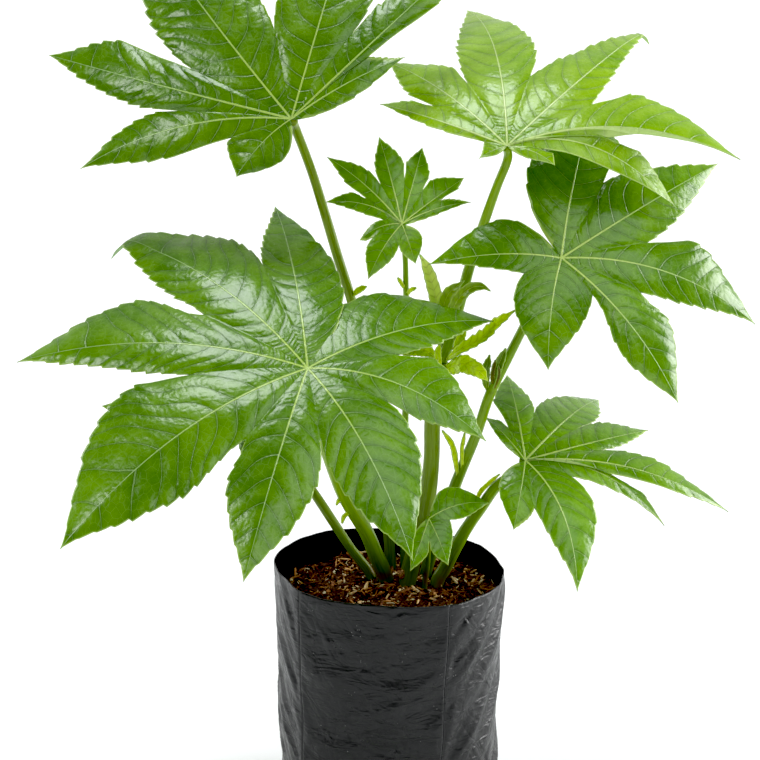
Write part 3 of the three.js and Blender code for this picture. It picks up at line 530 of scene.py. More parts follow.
def half_blade(leaf, index, side, shift, seed):
    """The grid of one half lobe, from its midrib to its margin."""
    half = half_lobe(leaf, index, side)
    part = half["part"]
    length = part["length"]
    web = np.linspace(0, 1, WEB_ROWS + 1)
    edge = [web_edge(leaf, half, web)]
    rows = [WEB_SHARE * web]
    teeth = round(1.5 * half["teeth"])
    shares, points_of_teeth = [], []
    sharp = 0.5 + 0.62 * np.random.default_rng(seed + 300 + side).random(teeth)
    for k in range(teeth):
        for phase in TOOTH_ROWS:
            shares.append((k + phase) / teeth)
            rising = min(phase / TOOTH_REACH, (1 - phase) / (1 - TOOTH_REACH))
            points_of_teeth.append(rising ** 0.75 * sharp[k])
    shares, points_of_teeth = np.array(shares), np.array(points_of_teeth)
    edge.append(free_edge(half, shares, points_of_teeth))
    rows.append(WEB_SHARE + (1 - WEB_SHARE) * shares)
    edge_x, edge_y, edge_lift = (np.concatenate([np.broadcast_to(np.asarray(v, float), n.shape) for v, n in
                                                 zip(pair, (web, shares))])[:, None] for pair in zip(*edge))
    row = np.concatenate(rows)[:, None]
    t = COLUMNS[None, :]
    x = length * row + (edge_x - length * row) * t ** 1.3
    share = np.clip(x / length, 0, 1)
    aside = edge_y * t
    y = side * aside + rib_bow(part, share)
    z = rib_rise(part, share) + edge_lift * t ** 1.25 + HALF_ARCH * edge_y * t * (1 - t)
    free = np.concatenate([0 * web, shares])[:, None]

    # The blade swells between its side veins, billows and ripples at its margin; the rib, seam and tip stay
    size = min(1.0, half["half"] / 26)
    count, spacing = side_veins(x, aside, length, half["half"], shift, seed + 40)
    between = 1 - np.abs(2 * (count % 1) - 1) ** 2.8
    uneven = 0.5 + 0.9 * patches(x / 21 + 30, y / 21 + 30, seed)
    inside = soft_step(aside, 0, 10) * soft_step(edge_y * (1 - t), 0, 6) * soft_step(x, 4, 24)
    calm = soft_step(1 - row, 0, 0.25)
    z = z + VEIN_SWELL * spacing * between * uneven * inside * calm
    billow = patches(x / 38 + 9, y / 38 + 9, seed + 3) + 0.35 * patches(x / 13 + 9, y / 13 + 9, seed + 4) - 0.67
    z = z + BILLOW * size * billow * inside * calm
    ripple = np.sin(x / 7.5 + 5 * patches(x / 40, 0 * x + index, seed)) + 0.8 * np.sin(x / 14.0 + 2.1 * index + side)
    z = z + 0.7 * size * ripple * t ** 3 * soft_step(free, 0.02, 0.2) * soft_step(1 - free, 0, 0.25)

    right, up, out = facing_axes(leaf["facing"])
    heading = math.radians(part["heading"])
    across = (x * math.cos(heading) - y * math.sin(heading))[..., None]
    upward = (x * math.sin(heading) + y * math.cos(heading))[..., None]
    points = np.array(leaf["hub"], float) + across * right + upward * up + z[..., None] * out
    margin = edge_y * (1 - t) + np.where(free > 0, 0, 6)
    rib_half = RIB_HALF * min(1.0, length / 130 + 0.25) * (1.15 - share) ** 0.9
    rib = 1.3 * rib_half * np.exp(-(aside / 1.3) ** 2)
    vein_half = VEIN_HALF * min(1.0, length / 110 + 0.2) * (1 - 0.4 * t) * (1 - 0.3 * share)
    maps = {
        "lobe": np.stack([x, aside], -1) / LOBE_MAP,
        "vein": np.stack([count, spacing / SPACING_MAP], -1),
        "line": np.stack([rib_half + 0 * x, vein_half + 0 * x], -1),
        "rim": np.stack([np.clip(margin / RIM_MAP, 0, 1), share], -1),
    }
    # The left half is turned round, so that both upper faces look out of the leaf
    if side < 0:
        return points, maps, rib
    return points[:, ::-1], {k: v[:, ::-1] for k, v in maps.items()}, rib[:, ::-1]


def leaf_blade(name, leaf):
    draw = np.random.default_rng(sum(map(ord, name)))
    grids = [half_blade(leaf, index, side, float(draw.random()), 11 + index)
             for index in range(len(leaf["lobes"])) for side in (1, -1)]
    points, faces, maps, side = closed_sheet(grids, SHEET)
    finish = LEAF_FINISHES[leaf["finish"]]
    make_piece("blade_" + name, points, faces, maps, finish, "leaf_" + name, side)


# Young leaves
def young_blade(name, half, fold, side, finish, line, bare=0.22, lobed=0.16, stands_for=None, slot=None):
    """A small folded blade along a line; side: the way its open side looks."""
    middle, length = smooth_line(line, YOUNG_ROWS + 1)
    _, _, out = facing_axes(side)
    across = units(np.cross(units(np.gradient(middle, axis=0)), out))
    share = np.linspace(0, 1, YOUNG_ROWS + 1)
    swell = np.maximum(0, (share - bare) / (1 - bare))
    width = YOUNG_STALK + (half - YOUNG_STALK) * 2.6 * swell ** 0.8 * (1 - swell) ** 0.9
    width = width * np.clip((1 - share) * 9, 0, 1)
    saw = (np.arange(YOUNG_ROWS + 1) * 0.25) % 1
    width = width * (1 + lobed * (saw - 0.5) * (share > 0.3) * (share < 0.93))
    wing = math.radians(fold)
    v = np.linspace(-1, 1, YOUNG_COLUMNS)[None, :]
    reach = width[:, None] * np.abs(v)
    rise = reach * math.sin(wing) * np.abs(v) ** 0.5 + 0.14 * reach * np.sin(share[:, None] * 26) * np.abs(v)
    points = (middle[:, None] + (v * width[:, None] * math.cos(wing))[..., None] * across[:, None]
              + rise[..., None] * out)
    rib = 0.5 * np.exp(-(reach / 0.7) ** 2)
    along = np.broadcast_to(share[:, None] * length, reach.shape)
    count = (along - 0.9 * reach) / YOUNG_VEIN_SPACING
    maps = {
        "lobe": np.stack([along, reach], -1) / LOBE_MAP,
        "vein": np.stack([count, 0 * count + YOUNG_VEIN_SPACING / SPACING_MAP], -1),
        "line": np.stack([0.28 - 0.15 * along / length, 0.12 + 0 * along], -1),
        "rim": np.stack([np.clip((width[:, None] - reach) / RIM_MAP, 0, 1), along / length], -1),
    }
    points, faces, maps, sides = closed_sheet([(points, maps, rib)], YOUNG_SHEET)
    make_piece(name + "_blade", points, faces, maps, LEAF_FINISHES[finish], stands_for, sides)


# Stems
def rooted(points):
    """Carries a stem's line on down into the mix."""
    foot, lean = np.array(points[0], float), np.subtract(points[1], points[0])
    reach = ROOT_DEPTH * ROOT_LEAN / lean[2]
    root = foot + np.array([-lean[0] * reach, -lean[1] * reach, -ROOT_DEPTH])
    return [root] + [np.array(p, float) for p in points]


def stem_tube(name, line, radii, finish, stands_for, flare=0.0, above=0.0):
    """A round stem, slightly oval and thicker towards its foot, with a flared top on a leaf stalk."""
    middle, length = smooth_line(line, STEM_RINGS + 1)
    share = np.linspace(0, 1, STEM_RINGS + 1)
    tangent = units(np.gradient(middle, axis=0))
    normal = unit(np.cross(tangent[0], [0.3, 1, 0.1]))
    rows = []
    turn = np.linspace(0, 2 * np.pi, STEM_SIDES + 1)
    for k in range(STEM_RINGS + 1):
        normal = unit(normal - tangent[k] * np.dot(normal, tangent[k]))
        other = np.cross(tangent[k], normal)
        radius = radii[0] + (radii[1] - radii[0]) * share[k]
        radius *= 1 + 0.02 * math.sin(share[k] * 21 + len(name)) - 0.012 * math.cos(share[k] * 9)
        ring = radius * (1 + 0.03 * np.cos(2 * turn + 1) + 0.008 * np.cos(5 * turn + 2 * share[k]))
        ring = ring * (1 + flare * soft_step(share[k], 0.97, 1.0))
        ring[-1] = ring[0]
        rows.append(middle[k] + ring[:, None] * (np.cos(turn)[:, None] * normal + np.sin(turn)[:, None] * other))
    points = np.concatenate([np.array(rows)[:, :-1].reshape(-1, 3), [middle[0], middle[-1]]])
    height = above + share * length / LENGTH_MAP
    strips = [(j / STEM_SIDES, (j + 1) / STEM_SIDES) for j in range(STEM_SIDES)]
    pairs = []
    for low, high in zip(height, height[1:]):
        for one, next_one in strips:
            pairs += [(one, low), (next_one, low), (next_one, high), (one, high)]
    foot, top = height[0], height[-1]
    for one, next_one in strips:
        pairs += [(next_one, foot), (one, foot), (one, foot), (one, top), (next_one, top), (one, top)]
    make_piece(name, points, tube_faces(STEM_RINGS + 1, STEM_SIDES), {"skin": pairs}, [finish], stands_for)


def leaf_scar():
    """The rough scar that a fallen leaf left at the foot of the cane."""
    rows, sides = 12, 24
    height = np.linspace(-np.pi / 2, np.pi / 2, rows + 1)[1:-1, None]
    turn = np.linspace(0, 2 * np.pi, sides, endpoint=False)[None, :]
    rough = 0.8 + 0.4 * patches(3 + 2 * np.cos(turn) + 0 * height, 3 + 2 * np.sin(turn) + 4 * np.sin(height), 91)
    ball = np.stack([np.cos(height) * np.cos(turn), np.cos(height) * np.sin(turn), np.sin(height) + 0 * turn], -1)
    body = (SCAR_CENTRE + ball * rough[..., None] * SCAR_SIZE).reshape(-1, 3)
    points = np.concatenate([body, SCAR_CENTRE + np.outer((-1, 1), (0, 0, SCAR_SIZE[2]))])
    faces = tube_faces(rows - 1, sides)
    pairs = [(0.0, 0.0)] * sum(map(len, faces))
    make_piece("leaf_scar", points, faces, {"skin": pairs}, [SCAR_FINISH], None)


def leaf_stalk(name, stalk):
    leaf = LEAVES[name]
    _, _, out = facing_axes(leaf["facing"])
    line = [np.array(p, float) for p in stalk["points"]] if stalk.get("on_cane") else rooted(stalk["points"])
    hub = np.array(leaf["hub"], float)
    line += [hub - STALK_LEAD * out, hub - (SHEET + STALK_SINK) * out]
    stem_tube("petiole_" + name, line, stalk["radii"], STEM_FINISHES[stalk["finish"]], "stalk_" + name,
              flare=0.25, above=0.4 if stalk.get("on_cane") else 0.0)


# Bag
def fold_distance(turn):
    return np.min([np.abs((turn - fold + 180) % 360 - 180) for fold in FOLD_TURNS], axis=0)


def folded(arc, z, seed, folds):
    """Flat facets between crisp creases. folds: the way across each, in degrees, then spacing and depth."""
    total = 0
    for k, (lean, spacing, depth) in enumerate(folds):
        turn = math.radians(lean)
        over = arc * math.cos(turn) + z * math.sin(turn)
        along = z * math.cos(turn) - arc * math.sin(turn)
        shift = 0.9 * patches(over / (3.2 * spacing), along / (5 * spacing), seed + k)
        held = soft_step(patches(over / (1.6 * spacing), along / (3.5 * spacing), seed + 50 + k), 0.15, 0.6)
        total = total + depth * held * (np.abs(2 * ((over / spacing + shift) % 1) - 1) - 0.5)
    return total


def film_offset(turn, z):
    """How far the film stands off its round shape; turn in degrees from the front towards +X."""
    around = np.radians(turn)
    near = fold_distance(turn)
    ridge = 0.7 * FOLD_RIDGE * np.exp(-(near / 6) ** 2) - 0.55 * np.exp(-(near / 0.45) ** 2)
    flat = -PANEL_FLAT * np.sin(np.radians(np.minimum(near, 45) * 2)) ** 1.2
    base = 0.5 * np.sin(3 * around + z / 13) + 0.4 * np.sin(7 * around - z / 9 + 1)
    full = 1.9 * np.exp(-((turn + 95) / 32) ** 2)
    full = full + 2.2 * np.exp(-((turn - 95) / 28) ** 2) * soft_step(z, 110, 178)
    arc = 80 * np.radians((turn + 150) % 360 - 150)
    front = soft_step(turn, -50, -46) * soft_step(30 - turn, 0, 4)
    right = soft_step(turn, 30, 34) * soft_step(130 - turn, 0, 4)
    left = soft_step(-turn, 50, 54) * soft_step(turn + 150, 0, 4)
    back = np.clip(1 - front - right - left, 0, 1)
    star = sum(high * np.exp(-np.hypot(arc - a, z - h) / 15) * soft_step(np.hypot(arc - a, z - h), 0, 7) * np.abs(
        np.cos(2.5 * np.arctan2(z - h, arc - a) + spin)) for a, h, high, spin in FILM_STARS)
    crumple = (front + back) * (folded(arc, z, 3, LEVEL_FOLDS) + 0.9 * star)
    crumple = crumple + right * folded(arc, z, 6, RISING_FOLDS) + left * folded(arc, z, 9, FALLING_FOLDS)
    calm = soft_step(near, 0, 5) * (1 - 0.6 * soft_step(z, 168, 179))
    return ridge + flat + base + full - crumple * calm


def film_lift(turn, share):
    """How far the film's levels rise, most at the rim, which is wavy, tilted and a little frayed."""
    around = np.radians(turn)
    wave = 0.9 * np.sin(3 * around + 0.6) + 0.5 * np.sin(5 * around + 2)
    fray = 0.5 * (patches(turn / 9 + 50, 0 * turn, 21) - 0.5) + 0.25 * (patches(turn / 2.6 + 50, 0 * turn, 22) - 0.5)
    behind = 2.3 * ((1 - np.cos(around)) / 2) ** 3
    return share ** 3 * (wave - RIM_TILT * np.sin(around) + behind) + share ** 12 * fray


def film_bag():
    fine = [fold + step for fold in (-150, *FOLD_TURNS[:3]) for step in (-1.4, -0.9, -0.45, 0, 0.45, 0.9, 1.4)]
    even = [t for t in np.linspace(-180, 180, 290) if fold_distance(t) > 1.7]
    turn = np.array(sorted(fine + even))[None, :]
    sectors = turn.shape[1] - 1
    levels = np.concatenate([np.linspace(0, 0.06, 6), np.linspace(0.06, 1, 120)[1:]])
    outer = [(0.0, 0.0), (BASE_RADIUS * 0.5, 0.0), (BASE_RADIUS - BASE_TUCK - 2, 0.0)]
    for share in levels:
        tuck = BASE_TUCK * (1 - math.sin(min(share / 0.05, 1) * math.pi / 2))
        outer.append((BASE_RADIUS + (RIM_RADIUS - BASE_RADIUS) * share - tuck, share * BAG_HEIGHT))
    inner = [(r - FILM_SHOWN, z) for r, z in reversed(outer[3:]) if z > MIX_HEIGHT - 20]
    inner += [(r - 1.3, z) for r, z in reversed(outer[12:]) if z < MIX_HEIGHT - 22][::2]
    inner += [(BASE_RADIUS - BASE_TUCK - 4, 2.0), (0.0, 1.2)]
    profile = np.array(outer + inner)
    reach, z = profile[:, 0][:, None], profile[:, 1][:, None]
    wall = soft_step(reach, BASE_RADIUS * 0.88, BASE_RADIUS * 0.95) * soft_step(z, 0, 0.1 * BAG_HEIGHT)
    moved = reach + film_offset(turn, z) * wall
    height = z + film_lift(turn, z / BAG_HEIGHT) * (reach > 60) + 0 * turn
    lean = FOLD_LEAN * np.exp(-((turn - FOLD_TURNS[1]) / 28) ** 2) * (1 - z / BAG_HEIGHT)
    around = np.radians(turn - lean)
    points = np.stack([moved * np.sin(around), -moved * np.cos(around), height], -1)
    film_map = np.stack([np.broadcast_to((turn + 180) / 360 * 5, moved.shape), height / LENGTH_MAP], -1)
    fold_map = np.stack([np.broadcast_to(fold_distance(turn) / FOLD_MAP, moved.shape), moved / LENGTH_MAP], -1)
    used, faces, spots = turned_faces(len(profile), sectors)
    maps = {key: [values[spot] for ring in spots for spot in ring]
            for key, values in (("film", film_map), ("fold", fold_map))}
    inside = [int(row >= len(outer)) for row in range(len(profile) - 1) for _ in range(sectors)]
    make_piece("film_bag", points[:, :-1].reshape(-1, 3)[used], faces, maps, [FILM_FINISH, INSIDE_FINISH],
               "grow_bag", inside)


# Potting mix
def bark_chip(draw):
    """One bark sliver lying flat: rings of points along it, and its faces."""
    length, width, depth = draw.uniform(3.5, 13), draw.uniform(1.1, 3.6), draw.uniform(0.8, 2.0)
    bend = draw.uniform(-0.25, 0.25)
    points = []
    for at, size in CHIP_RINGS:
        for j in range(CHIP_SIDES):
            turn = 2 * math.pi * (j + 0.5) / CHIP_SIDES
            rough = draw.uniform(0.75, 1.15)
            points.append((at * length + draw.uniform(-0.4, 0.4), math.cos(turn) * width / 2 * size * rough
                           + bend * length * at * at, math.sin(turn) * depth / 2 * size * rough))
    points += [(-0.5 * length, 0, 0), (0.5 * length, 0, 0)]
    return np.array(points), tube_faces(len(CHIP_RINGS), CHIP_SIDES)


def stem_feet():
    """Where stems stand in the mix, and how thick they are there."""
    feet = [(CANE["points"][0], CANE["radii"][0])]
    feet += [(s["points"][0], s["radii"][0]) for s in STALKS.values() if not s.get("on_cane")]
    return [(np.array(p[:2], float), r) for p, r in feet]


def mix_top(x, y):
    relief = MIX_RELIEF * (np.sin(x / 9 + y / 14) + np.sin(y / 11 - x / 17))
    return (MIX_HEIGHT + relief + 2.2 * patches(x / 6 + 40, y / 6 + 40, 31) - 1.6
            + 1.2 * patches(x / 2.4 + 40, y / 2.4 + 40, 32))


def mix_wall(z):
    return BASE_RADIUS + (RIM_RADIUS - BASE_RADIUS) * z / BAG_HEIGHT - MIX_GAP


def bark_mix():
    sectors = 144
    turn = np.linspace(-180, 180, sectors + 1)[None, :]
    around = np.radians(turn)
    profile = [(0.0, MIX_GAP), (BASE_RADIUS - BASE_TUCK - 3, MIX_GAP)]
    profile += [(mix_wall(z) - 4, z) for z in (14, 40, 80, 120, 145, 158)]
    wall_rows = len(profile)
    profile += [((mix_wall(MIX_HEIGHT) - 1.5) * r, MIX_HEIGHT) for r in np.linspace(1, 0, 52)]
    profile = np.array(profile)
    reach, z = profile[:, 0][:, None], profile[:, 1][:, None]
    moved = reach + np.minimum(film_offset(turn, z), 0) * soft_step(reach, 66, 72)
    x, y = moved * np.sin(around), -moved * np.cos(around)
    top = (np.arange(len(profile)) >= wall_rows)[:, None]
    points = np.stack([x, y, np.where(top, mix_top(x, y), z + 0 * turn)], -1)
    used, faces, _ = turned_faces(len(profile), sectors)
    parts = [points[:, :-1].reshape(-1, 3)[used]]
    pairs = [CRUMB_TONE] * sum(map(len, faces))
    count = len(parts[0])
    draw = np.random.default_rng(77)
    feet = stem_feet()
    placed = 0
    while placed < CHIP_COUNT:
        reach = CHIP_REACH * math.sqrt(draw.random())
        spin = draw.uniform(0, 2 * math.pi)
        spot = np.array([reach * math.sin(spin), -reach * math.cos(spin)])
        clear = min(np.linalg.norm(spot - foot) - radius for foot, radius in feet)
        if clear < 1.2:
            placed += 0.2
            continue
        placed += 1
        chip, chip_faces = bark_chip(draw)
        chip *= (0.3 + 0.8 * draw.random() ** 2.2) * min(1, 0.3 + clear / 6)
        yaw, tilt, roll = draw.uniform(0, 2 * math.pi), draw.normal(0, 0.42), draw.normal(0, 0.6)
        spin_about = np.array([[math.cos(yaw), -math.sin(yaw), 0], [math.sin(yaw), math.cos(yaw), 0], [0, 0, 1]])
        tip = np.array([[math.cos(tilt), 0, math.sin(tilt)], [0, 1, 0], [-math.sin(tilt), 0, math.cos(tilt)]])
        turn_over = np.array([[1, 0, 0], [0, math.cos(roll), -math.sin(roll)], [0, math.sin(roll), math.cos(roll)]])
        chip = chip @ (spin_about @ tip @ turn_over).T
        over = max(np.linalg.norm(chip[:, :2] + spot, axis=1).max() - CHIP_REACH - 1, 0)
        spot = spot * (1 - over / max(reach, 1))
        chip += [spot[0], spot[1], float(mix_top(spot[0], spot[1])) + draw.uniform(-0.4, 1.6)]
        parts.append(chip)
        faces += [[v + count for v in face] for face in chip_faces]
        pairs += [(0.12 + 0.88 * draw.random() ** 1.25, draw.random())] * sum(map(len, chip_faces))
        count += len(chip)
    make_piece("bark_mix", np.concatenate(parts), faces, {"chip": pairs}, [MIX_FINISH], "potting_mix")


# Finishes
def add_node(tree, kind, **settings):
    made = tree.nodes.new(kind)
    for key, value in settings.items():
        setattr(made, key, value)
    return made


def feed(tree, socket, value):
    """Joins a socket to another one, or sets its value."""
    if isinstance(value, bpy.types.NodeSocket):
        tree.links.new(value, socket)
    else:
        socket.default_value = value


def output_of(tree, kind, values, **settings):
    """The first output of a new node whose inputs take the values, in order."""
    made = add_node(tree, kind, **settings)
    for socket, value in zip(made.inputs, values):
        feed(tree, socket, value)
    return made.outputs[0]


def math_node(tree, operation, *values, clamp=False):
    return output_of(tree, "ShaderNodeMath", values, operation=operation, use_clamp=clamp)


def times(tree, one, other, clamp=False):
    return math_node(tree, "MULTIPLY", one, other, clamp=clamp)


def minus(tree, one, other):
    return math_node(tree, "SUBTRACT", one, other)


def summed(tree, *parts):
    """Adds values, each given with its weight."""
    total = 0.0
    for value, weight in parts:
        total = math_node(tree, "ADD", total, times(tree, value, weight))
    return total


def remap(tree, value, low, high, to_low=0.0, to_high=1.0):
    return output_of(tree, "ShaderNodeMapRange", (value, low, high, to_low, to_high),
                     interpolation_type="SMOOTHSTEP")


def vector_of(tree, x, y, z=0.0):
    return output_of(tree, "ShaderNodeCombineXYZ", (x, y, z))


def mix_colour(tree, share, one, other):
    made = add_node(tree, "ShaderNodeMix", data_type="RGBA")
    feed(tree, made.inputs["Factor"], share)
    for socket, colour in ((made.inputs[6], one), (made.inputs[7], other)):
        feed(tree, socket, colour if isinstance(colour, bpy.types.NodeSocket) else (*colour, 1))
    return made.outputs[2]


def layered(tree, colour, *layers):
    """Lays colours over one another. Each layer: its mask, its largest share and its colour."""
    for mask, share, other in layers:
        colour = mix_colour(tree, times(tree, mask, share), colour, other)
    return colour


def noise(tree, vector, scale, detail, rough=0.5, distortion=0.0):
    made = add_node(tree, "ShaderNodeTexNoise")
    for key, value in (("Vector", vector), ("Scale", scale), ("Detail", detail), ("Roughness", rough),
                       ("Distortion", distortion)):
        feed(tree, made.inputs[key], value)
    return made.outputs["Fac"]


def cell_distance(tree, across, up, scale, **settings):
    """How far a point lies from the middle, or from the edge, of its cell."""
    made = add_node(tree, "ShaderNodeTexVoronoi", voronoi_dimensions="2D", **settings)
    feed(tree, made.inputs["Vector"], vector_of(tree, across, up))
    feed(tree, made.inputs["Scale"], scale)
    return made.outputs["Distance"]


def ridges(tree, vector, detail):
    """Sharp creases: 0 on the crease, up to 1 between."""
    value = minus(tree, noise(tree, vector, 1.0, detail, 0.55, 0.5), 0.5)
    return times(tree, math_node(tree, "ABSOLUTE", value), 5.0, clamp=True)


def uv_parts(tree, layer):
    parts = add_node(tree, "ShaderNodeSeparateXYZ")
    feed(tree, parts.inputs[0], add_node(tree, "ShaderNodeUVMap", uv_map=layer).outputs[0])
    return parts.outputs[0], parts.outputs[1]


def new_group(name, inputs, outputs):
    """A node group whose named inputs and outputs are all numbers."""
    group = bpy.data.node_groups.new(name, "ShaderNodeTree")
    for way, keys in (("INPUT", inputs), ("OUTPUT", outputs)):
        for key in keys:
            group.interface.new_socket(key, in_out=way, socket_type="NodeSocketFloat")
    return group, add_node(group, "NodeGroupInput").outputs


def put_out(group, **values):
    """Joins the named outputs of a group."""
    result = add_node(group, "NodeGroupOutput")
    for key, value in values.items():
        group.links.new(value, result.inputs[key])
    return group


def use_group(tree, group, **values):
    made = add_node(tree, "ShaderNodeGroup", node_tree=group)
    for key, value in values.items():
        feed(tree, made.inputs[key], value)
    return made.outputs


def vein_group():
    """Midrib, side veins with painted shade beside them, fine net and the swelling between the veins of a half lobe,
    from sizes in mm.
    """
    group, given = new_group("vein net", ("Along", "Aside", "Count", "Spacing", "Rib", "Vein"),
                             ("Midrib", "Veins", "Flank", "Net", "Swell", "Comb", "Dome"))
    along, aside, count, spacing, rib, vein = (given[i] for i in range(6))
    part = math_node(group, "FRACT", count)
    away = minus(group, 0.5, math_node(group, "ABSOLUTE", minus(group, part, 0.5)))
    far = times(group, away, spacing)

    def line_mask(distance, size, outer, inner):
        return remap(group, distance, times(group, size, outer), times(group, size, inner))

    cells, small_cells = (cell_distance(group, along, aside, scale, feature="DISTANCE_TO_EDGE")
                          for scale in (NET_CELLS, FINE_NET_CELLS))
    net = math_node(group, "MAXIMUM", remap(group, cells, 0.07, 0.0), remap(group, small_cells, 0.1, 0.0, 0.0, 0.5))
    swell = times(group, times(group, part, minus(group, 1.0, part)), 4.0)
    comb = math_node(group, "PINGPONG", times(group, count, 3.0), 0.5)
    # The wider band beside each side vein is painted shade of the groove the vein lies in.
    return put_out(
        group, Midrib=line_mask(aside, rib, 1.25, 0.6), Veins=line_mask(far, vein, 1.4, 0.3),
        Flank=line_mask(far, vein, 4.2, 1.2), Net=times(group, net, remap(group, aside, 1.0, 5.0)),
        Swell=times(group, swell, times(group, spacing, 0.07, clamp=True)),
        Comb=times(group, comb, remap(group, aside, 0.5, 4.0, 0.0, 2.0)), Dome=remap(group, cells, 0.0, 0.4))


def mottle_group():
    """Large soft patches, small patches and fine grain from the piece's own place."""
    group, given = new_group("mottle", ("Size",), ("Large", "Small", "Grain"))
    place = add_node(group, "ShaderNodeTexCoord").outputs["Object"]
    large, small, grain = (noise(group, place, math_node(group, "DIVIDE", finer, given["Size"]), detail)
                           for finer, detail in ((1.0, 2.0), (5.0, 3.0), (32.0, 2.0)))
    return put_out(group, Large=large, Small=small, Grain=grain)


def new_finish(name):
    finish = bpy.data.materials.new(name)
    finish.use_nodes = True
    return finish, finish.node_tree


def dress(finish, colour, rough, height, distance, sheen=0.5):
    """Joins colour, roughness and relief to the material's shader. distance: metres of relief for a height of 1."""
    tree = finish.node_tree
    shader = tree.nodes["Principled BSDF"]
    tree.links.new(colour, shader.inputs["Base Color"])
    tree.links.new(rough, shader.inputs["Roughness"])
    shader.inputs["Specular IOR Level"].default_value = sheen
    relief = add_node(tree, "ShaderNodeBump")
    for key, value in (("Strength", 1.0), ("Distance", distance), ("Height", height)):
        feed(tree, relief.inputs[key], value)
    tree.links.new(relief.outputs[0], shader.inputs["Normal"])
    return finish


def blade_veins(tree):
    along, aside = uv_parts(tree, "lobe")
    count, spacing = uv_parts(tree, "vein")
    rib, vein = uv_parts(tree, "line")
    return use_group(tree, VEINS, Along=times(tree, along, LOBE_MAP), Aside=times(tree, aside, LOBE_MAP),
                     Count=count, Spacing=times(tree, spacing, SPACING_MAP), Rib=rib, Vein=vein)


def leaf_finish(name, deep, fresh, rib, vein, gloss, sheen=0.52):
    """The glossy upper side of a blade."""
    finish, tree = new_finish(name)
    rim, share = uv_parts(tree, "rim")
    net = blade_veins(tree)
    spots = use_group(tree, MOTTLE, Size=0.045)
    # The swelling between the side veins lifts the colour towards the fresh green, a painted highlight on each pillow;
    # the large and small patches are the leaf's own uneven tone.
    tone = summed(tree, (spots["Large"], 0.9), (spots["Small"], 0.45), (net["Swell"], 0.16))
    pale = mix_colour(tree, remap(tree, share, 0.1, 0.8), rib, vein)
    # The band beside each side vein darkens the deep green as painted shade.
    colour = layered(
        tree, mix_colour(tree, remap(tree, tone, 0.5, 1.05), deep, fresh), (net["Net"], 0.16, vein),
        (net["Flank"], 0.42, [0.55 * v for v in deep]), (net["Veins"], 0.38, vein),
        (remap(tree, rim, 0.04, 0.008), 0.6, rib), (net["Midrib"], 0.92, pale))
    rough = remap(tree, spots["Small"], 0.3, 0.7, gloss - 0.07, gloss - 0.01)
    comb = times(tree, net["Comb"], remap(tree, share, 0.3, 0.05, 0.0, 0.07))
    height = summed(tree, (net["Swell"], 0.16), (comb, 1.0), (net["Veins"], -0.14), (net["Dome"], 0.07),
                    (net["Midrib"], 0.35), (spots["Small"], 0.1), (spots["Grain"], 0.07))
    return dress(finish, colour, rough, height, 0.001, sheen)


def underside_finish(name, deep, fresh, rib):
    """The paler, duller lower side of a blade, with standing veins."""
    finish, tree = new_finish(name)
    net = blade_veins(tree)
    spots = use_group(tree, MOTTLE, Size=0.05)
    lines = math_node(tree, "MAXIMUM", times(tree, net["Veins"], 0.7), times(tree, net["Net"], 0.25))
    colour = layered(tree, mix_colour(tree, remap(tree, spots["Large"], 0.3, 0.7), deep, fresh),
                     (lines, 1.0, rib), (net["Midrib"], 1.0, rib))
    height = summed(tree, (net["Veins"], 1.0), (net["Net"], 0.4), (spots["Small"], 0.4))
    return dress(finish, colour, remap(tree, spots["Small"], 0.3, 0.7, 0.5, 0.68), height, 0.0006)


def stem_finish(name, foot, mid, pale):
    """Smooth green skin with long streaks, darker and browner towards the foot: partly the skin's own colour, partly
    painted shade near the mix.
    """
    finish, tree = new_finish(name)
    around, along = uv_parts(tree, "skin")
    turn = times(tree, around, 2 * math.pi)
    across = vector_of(tree, math_node(tree, "SINE", turn), math_node(tree, "COSINE", turn),
                       times(tree, along, 0.9))
    streaks, fine = (noise(tree, across, scale, 2.0) for scale in (2.6, 14.0))
    spots = use_group(tree, MOTTLE, Size=0.03)
    worn = times(tree, remap(tree, spots["Large"], 0.5, 0.62), remap(tree, along, 0.62, 0.2, 0.0, 0.7))
    # Darker, browner towards the foot: partly the skin's own colour, partly painted shade where the stem stands in the
    # mix. The streaks, specks and worn patches are the skin's own.
    colour = layered(
        tree, mid, (remap(tree, streaks, 0.35, 0.75), 0.4, pale), (remap(tree, fine, 0.58, 0.75), 0.12, foot),
        (remap(tree, along, 0.6, 0.1), 0.8, foot), (remap(tree, spots["Small"], 0.6, 0.75), 0.25, foot),
        (worn, 1.0, WORN_SKIN))
    height = summed(tree, (streaks, 0.8), (fine, 0.3))
    return dress(finish, colour, remap(tree, streaks, 0.3, 0.7, 0.24, 0.34), height, 0.0003, 0.32)


def scar_finish():
    """Corky orange-brown skin over an old leaf scar."""
    finish, tree = new_finish("leaf scar")
    spots = use_group(tree, MOTTLE, Size=0.006)
    colour = mix_colour(tree, remap(tree, spots["Small"], 0.35, 0.65), (0.2, 0.08, 0.03), (0.62, 0.33, 0.17))
    return dress(finish, colour, remap(tree, spots["Large"], 0.3, 0.7, 0.55, 0.75), spots["Small"], 0.0008)


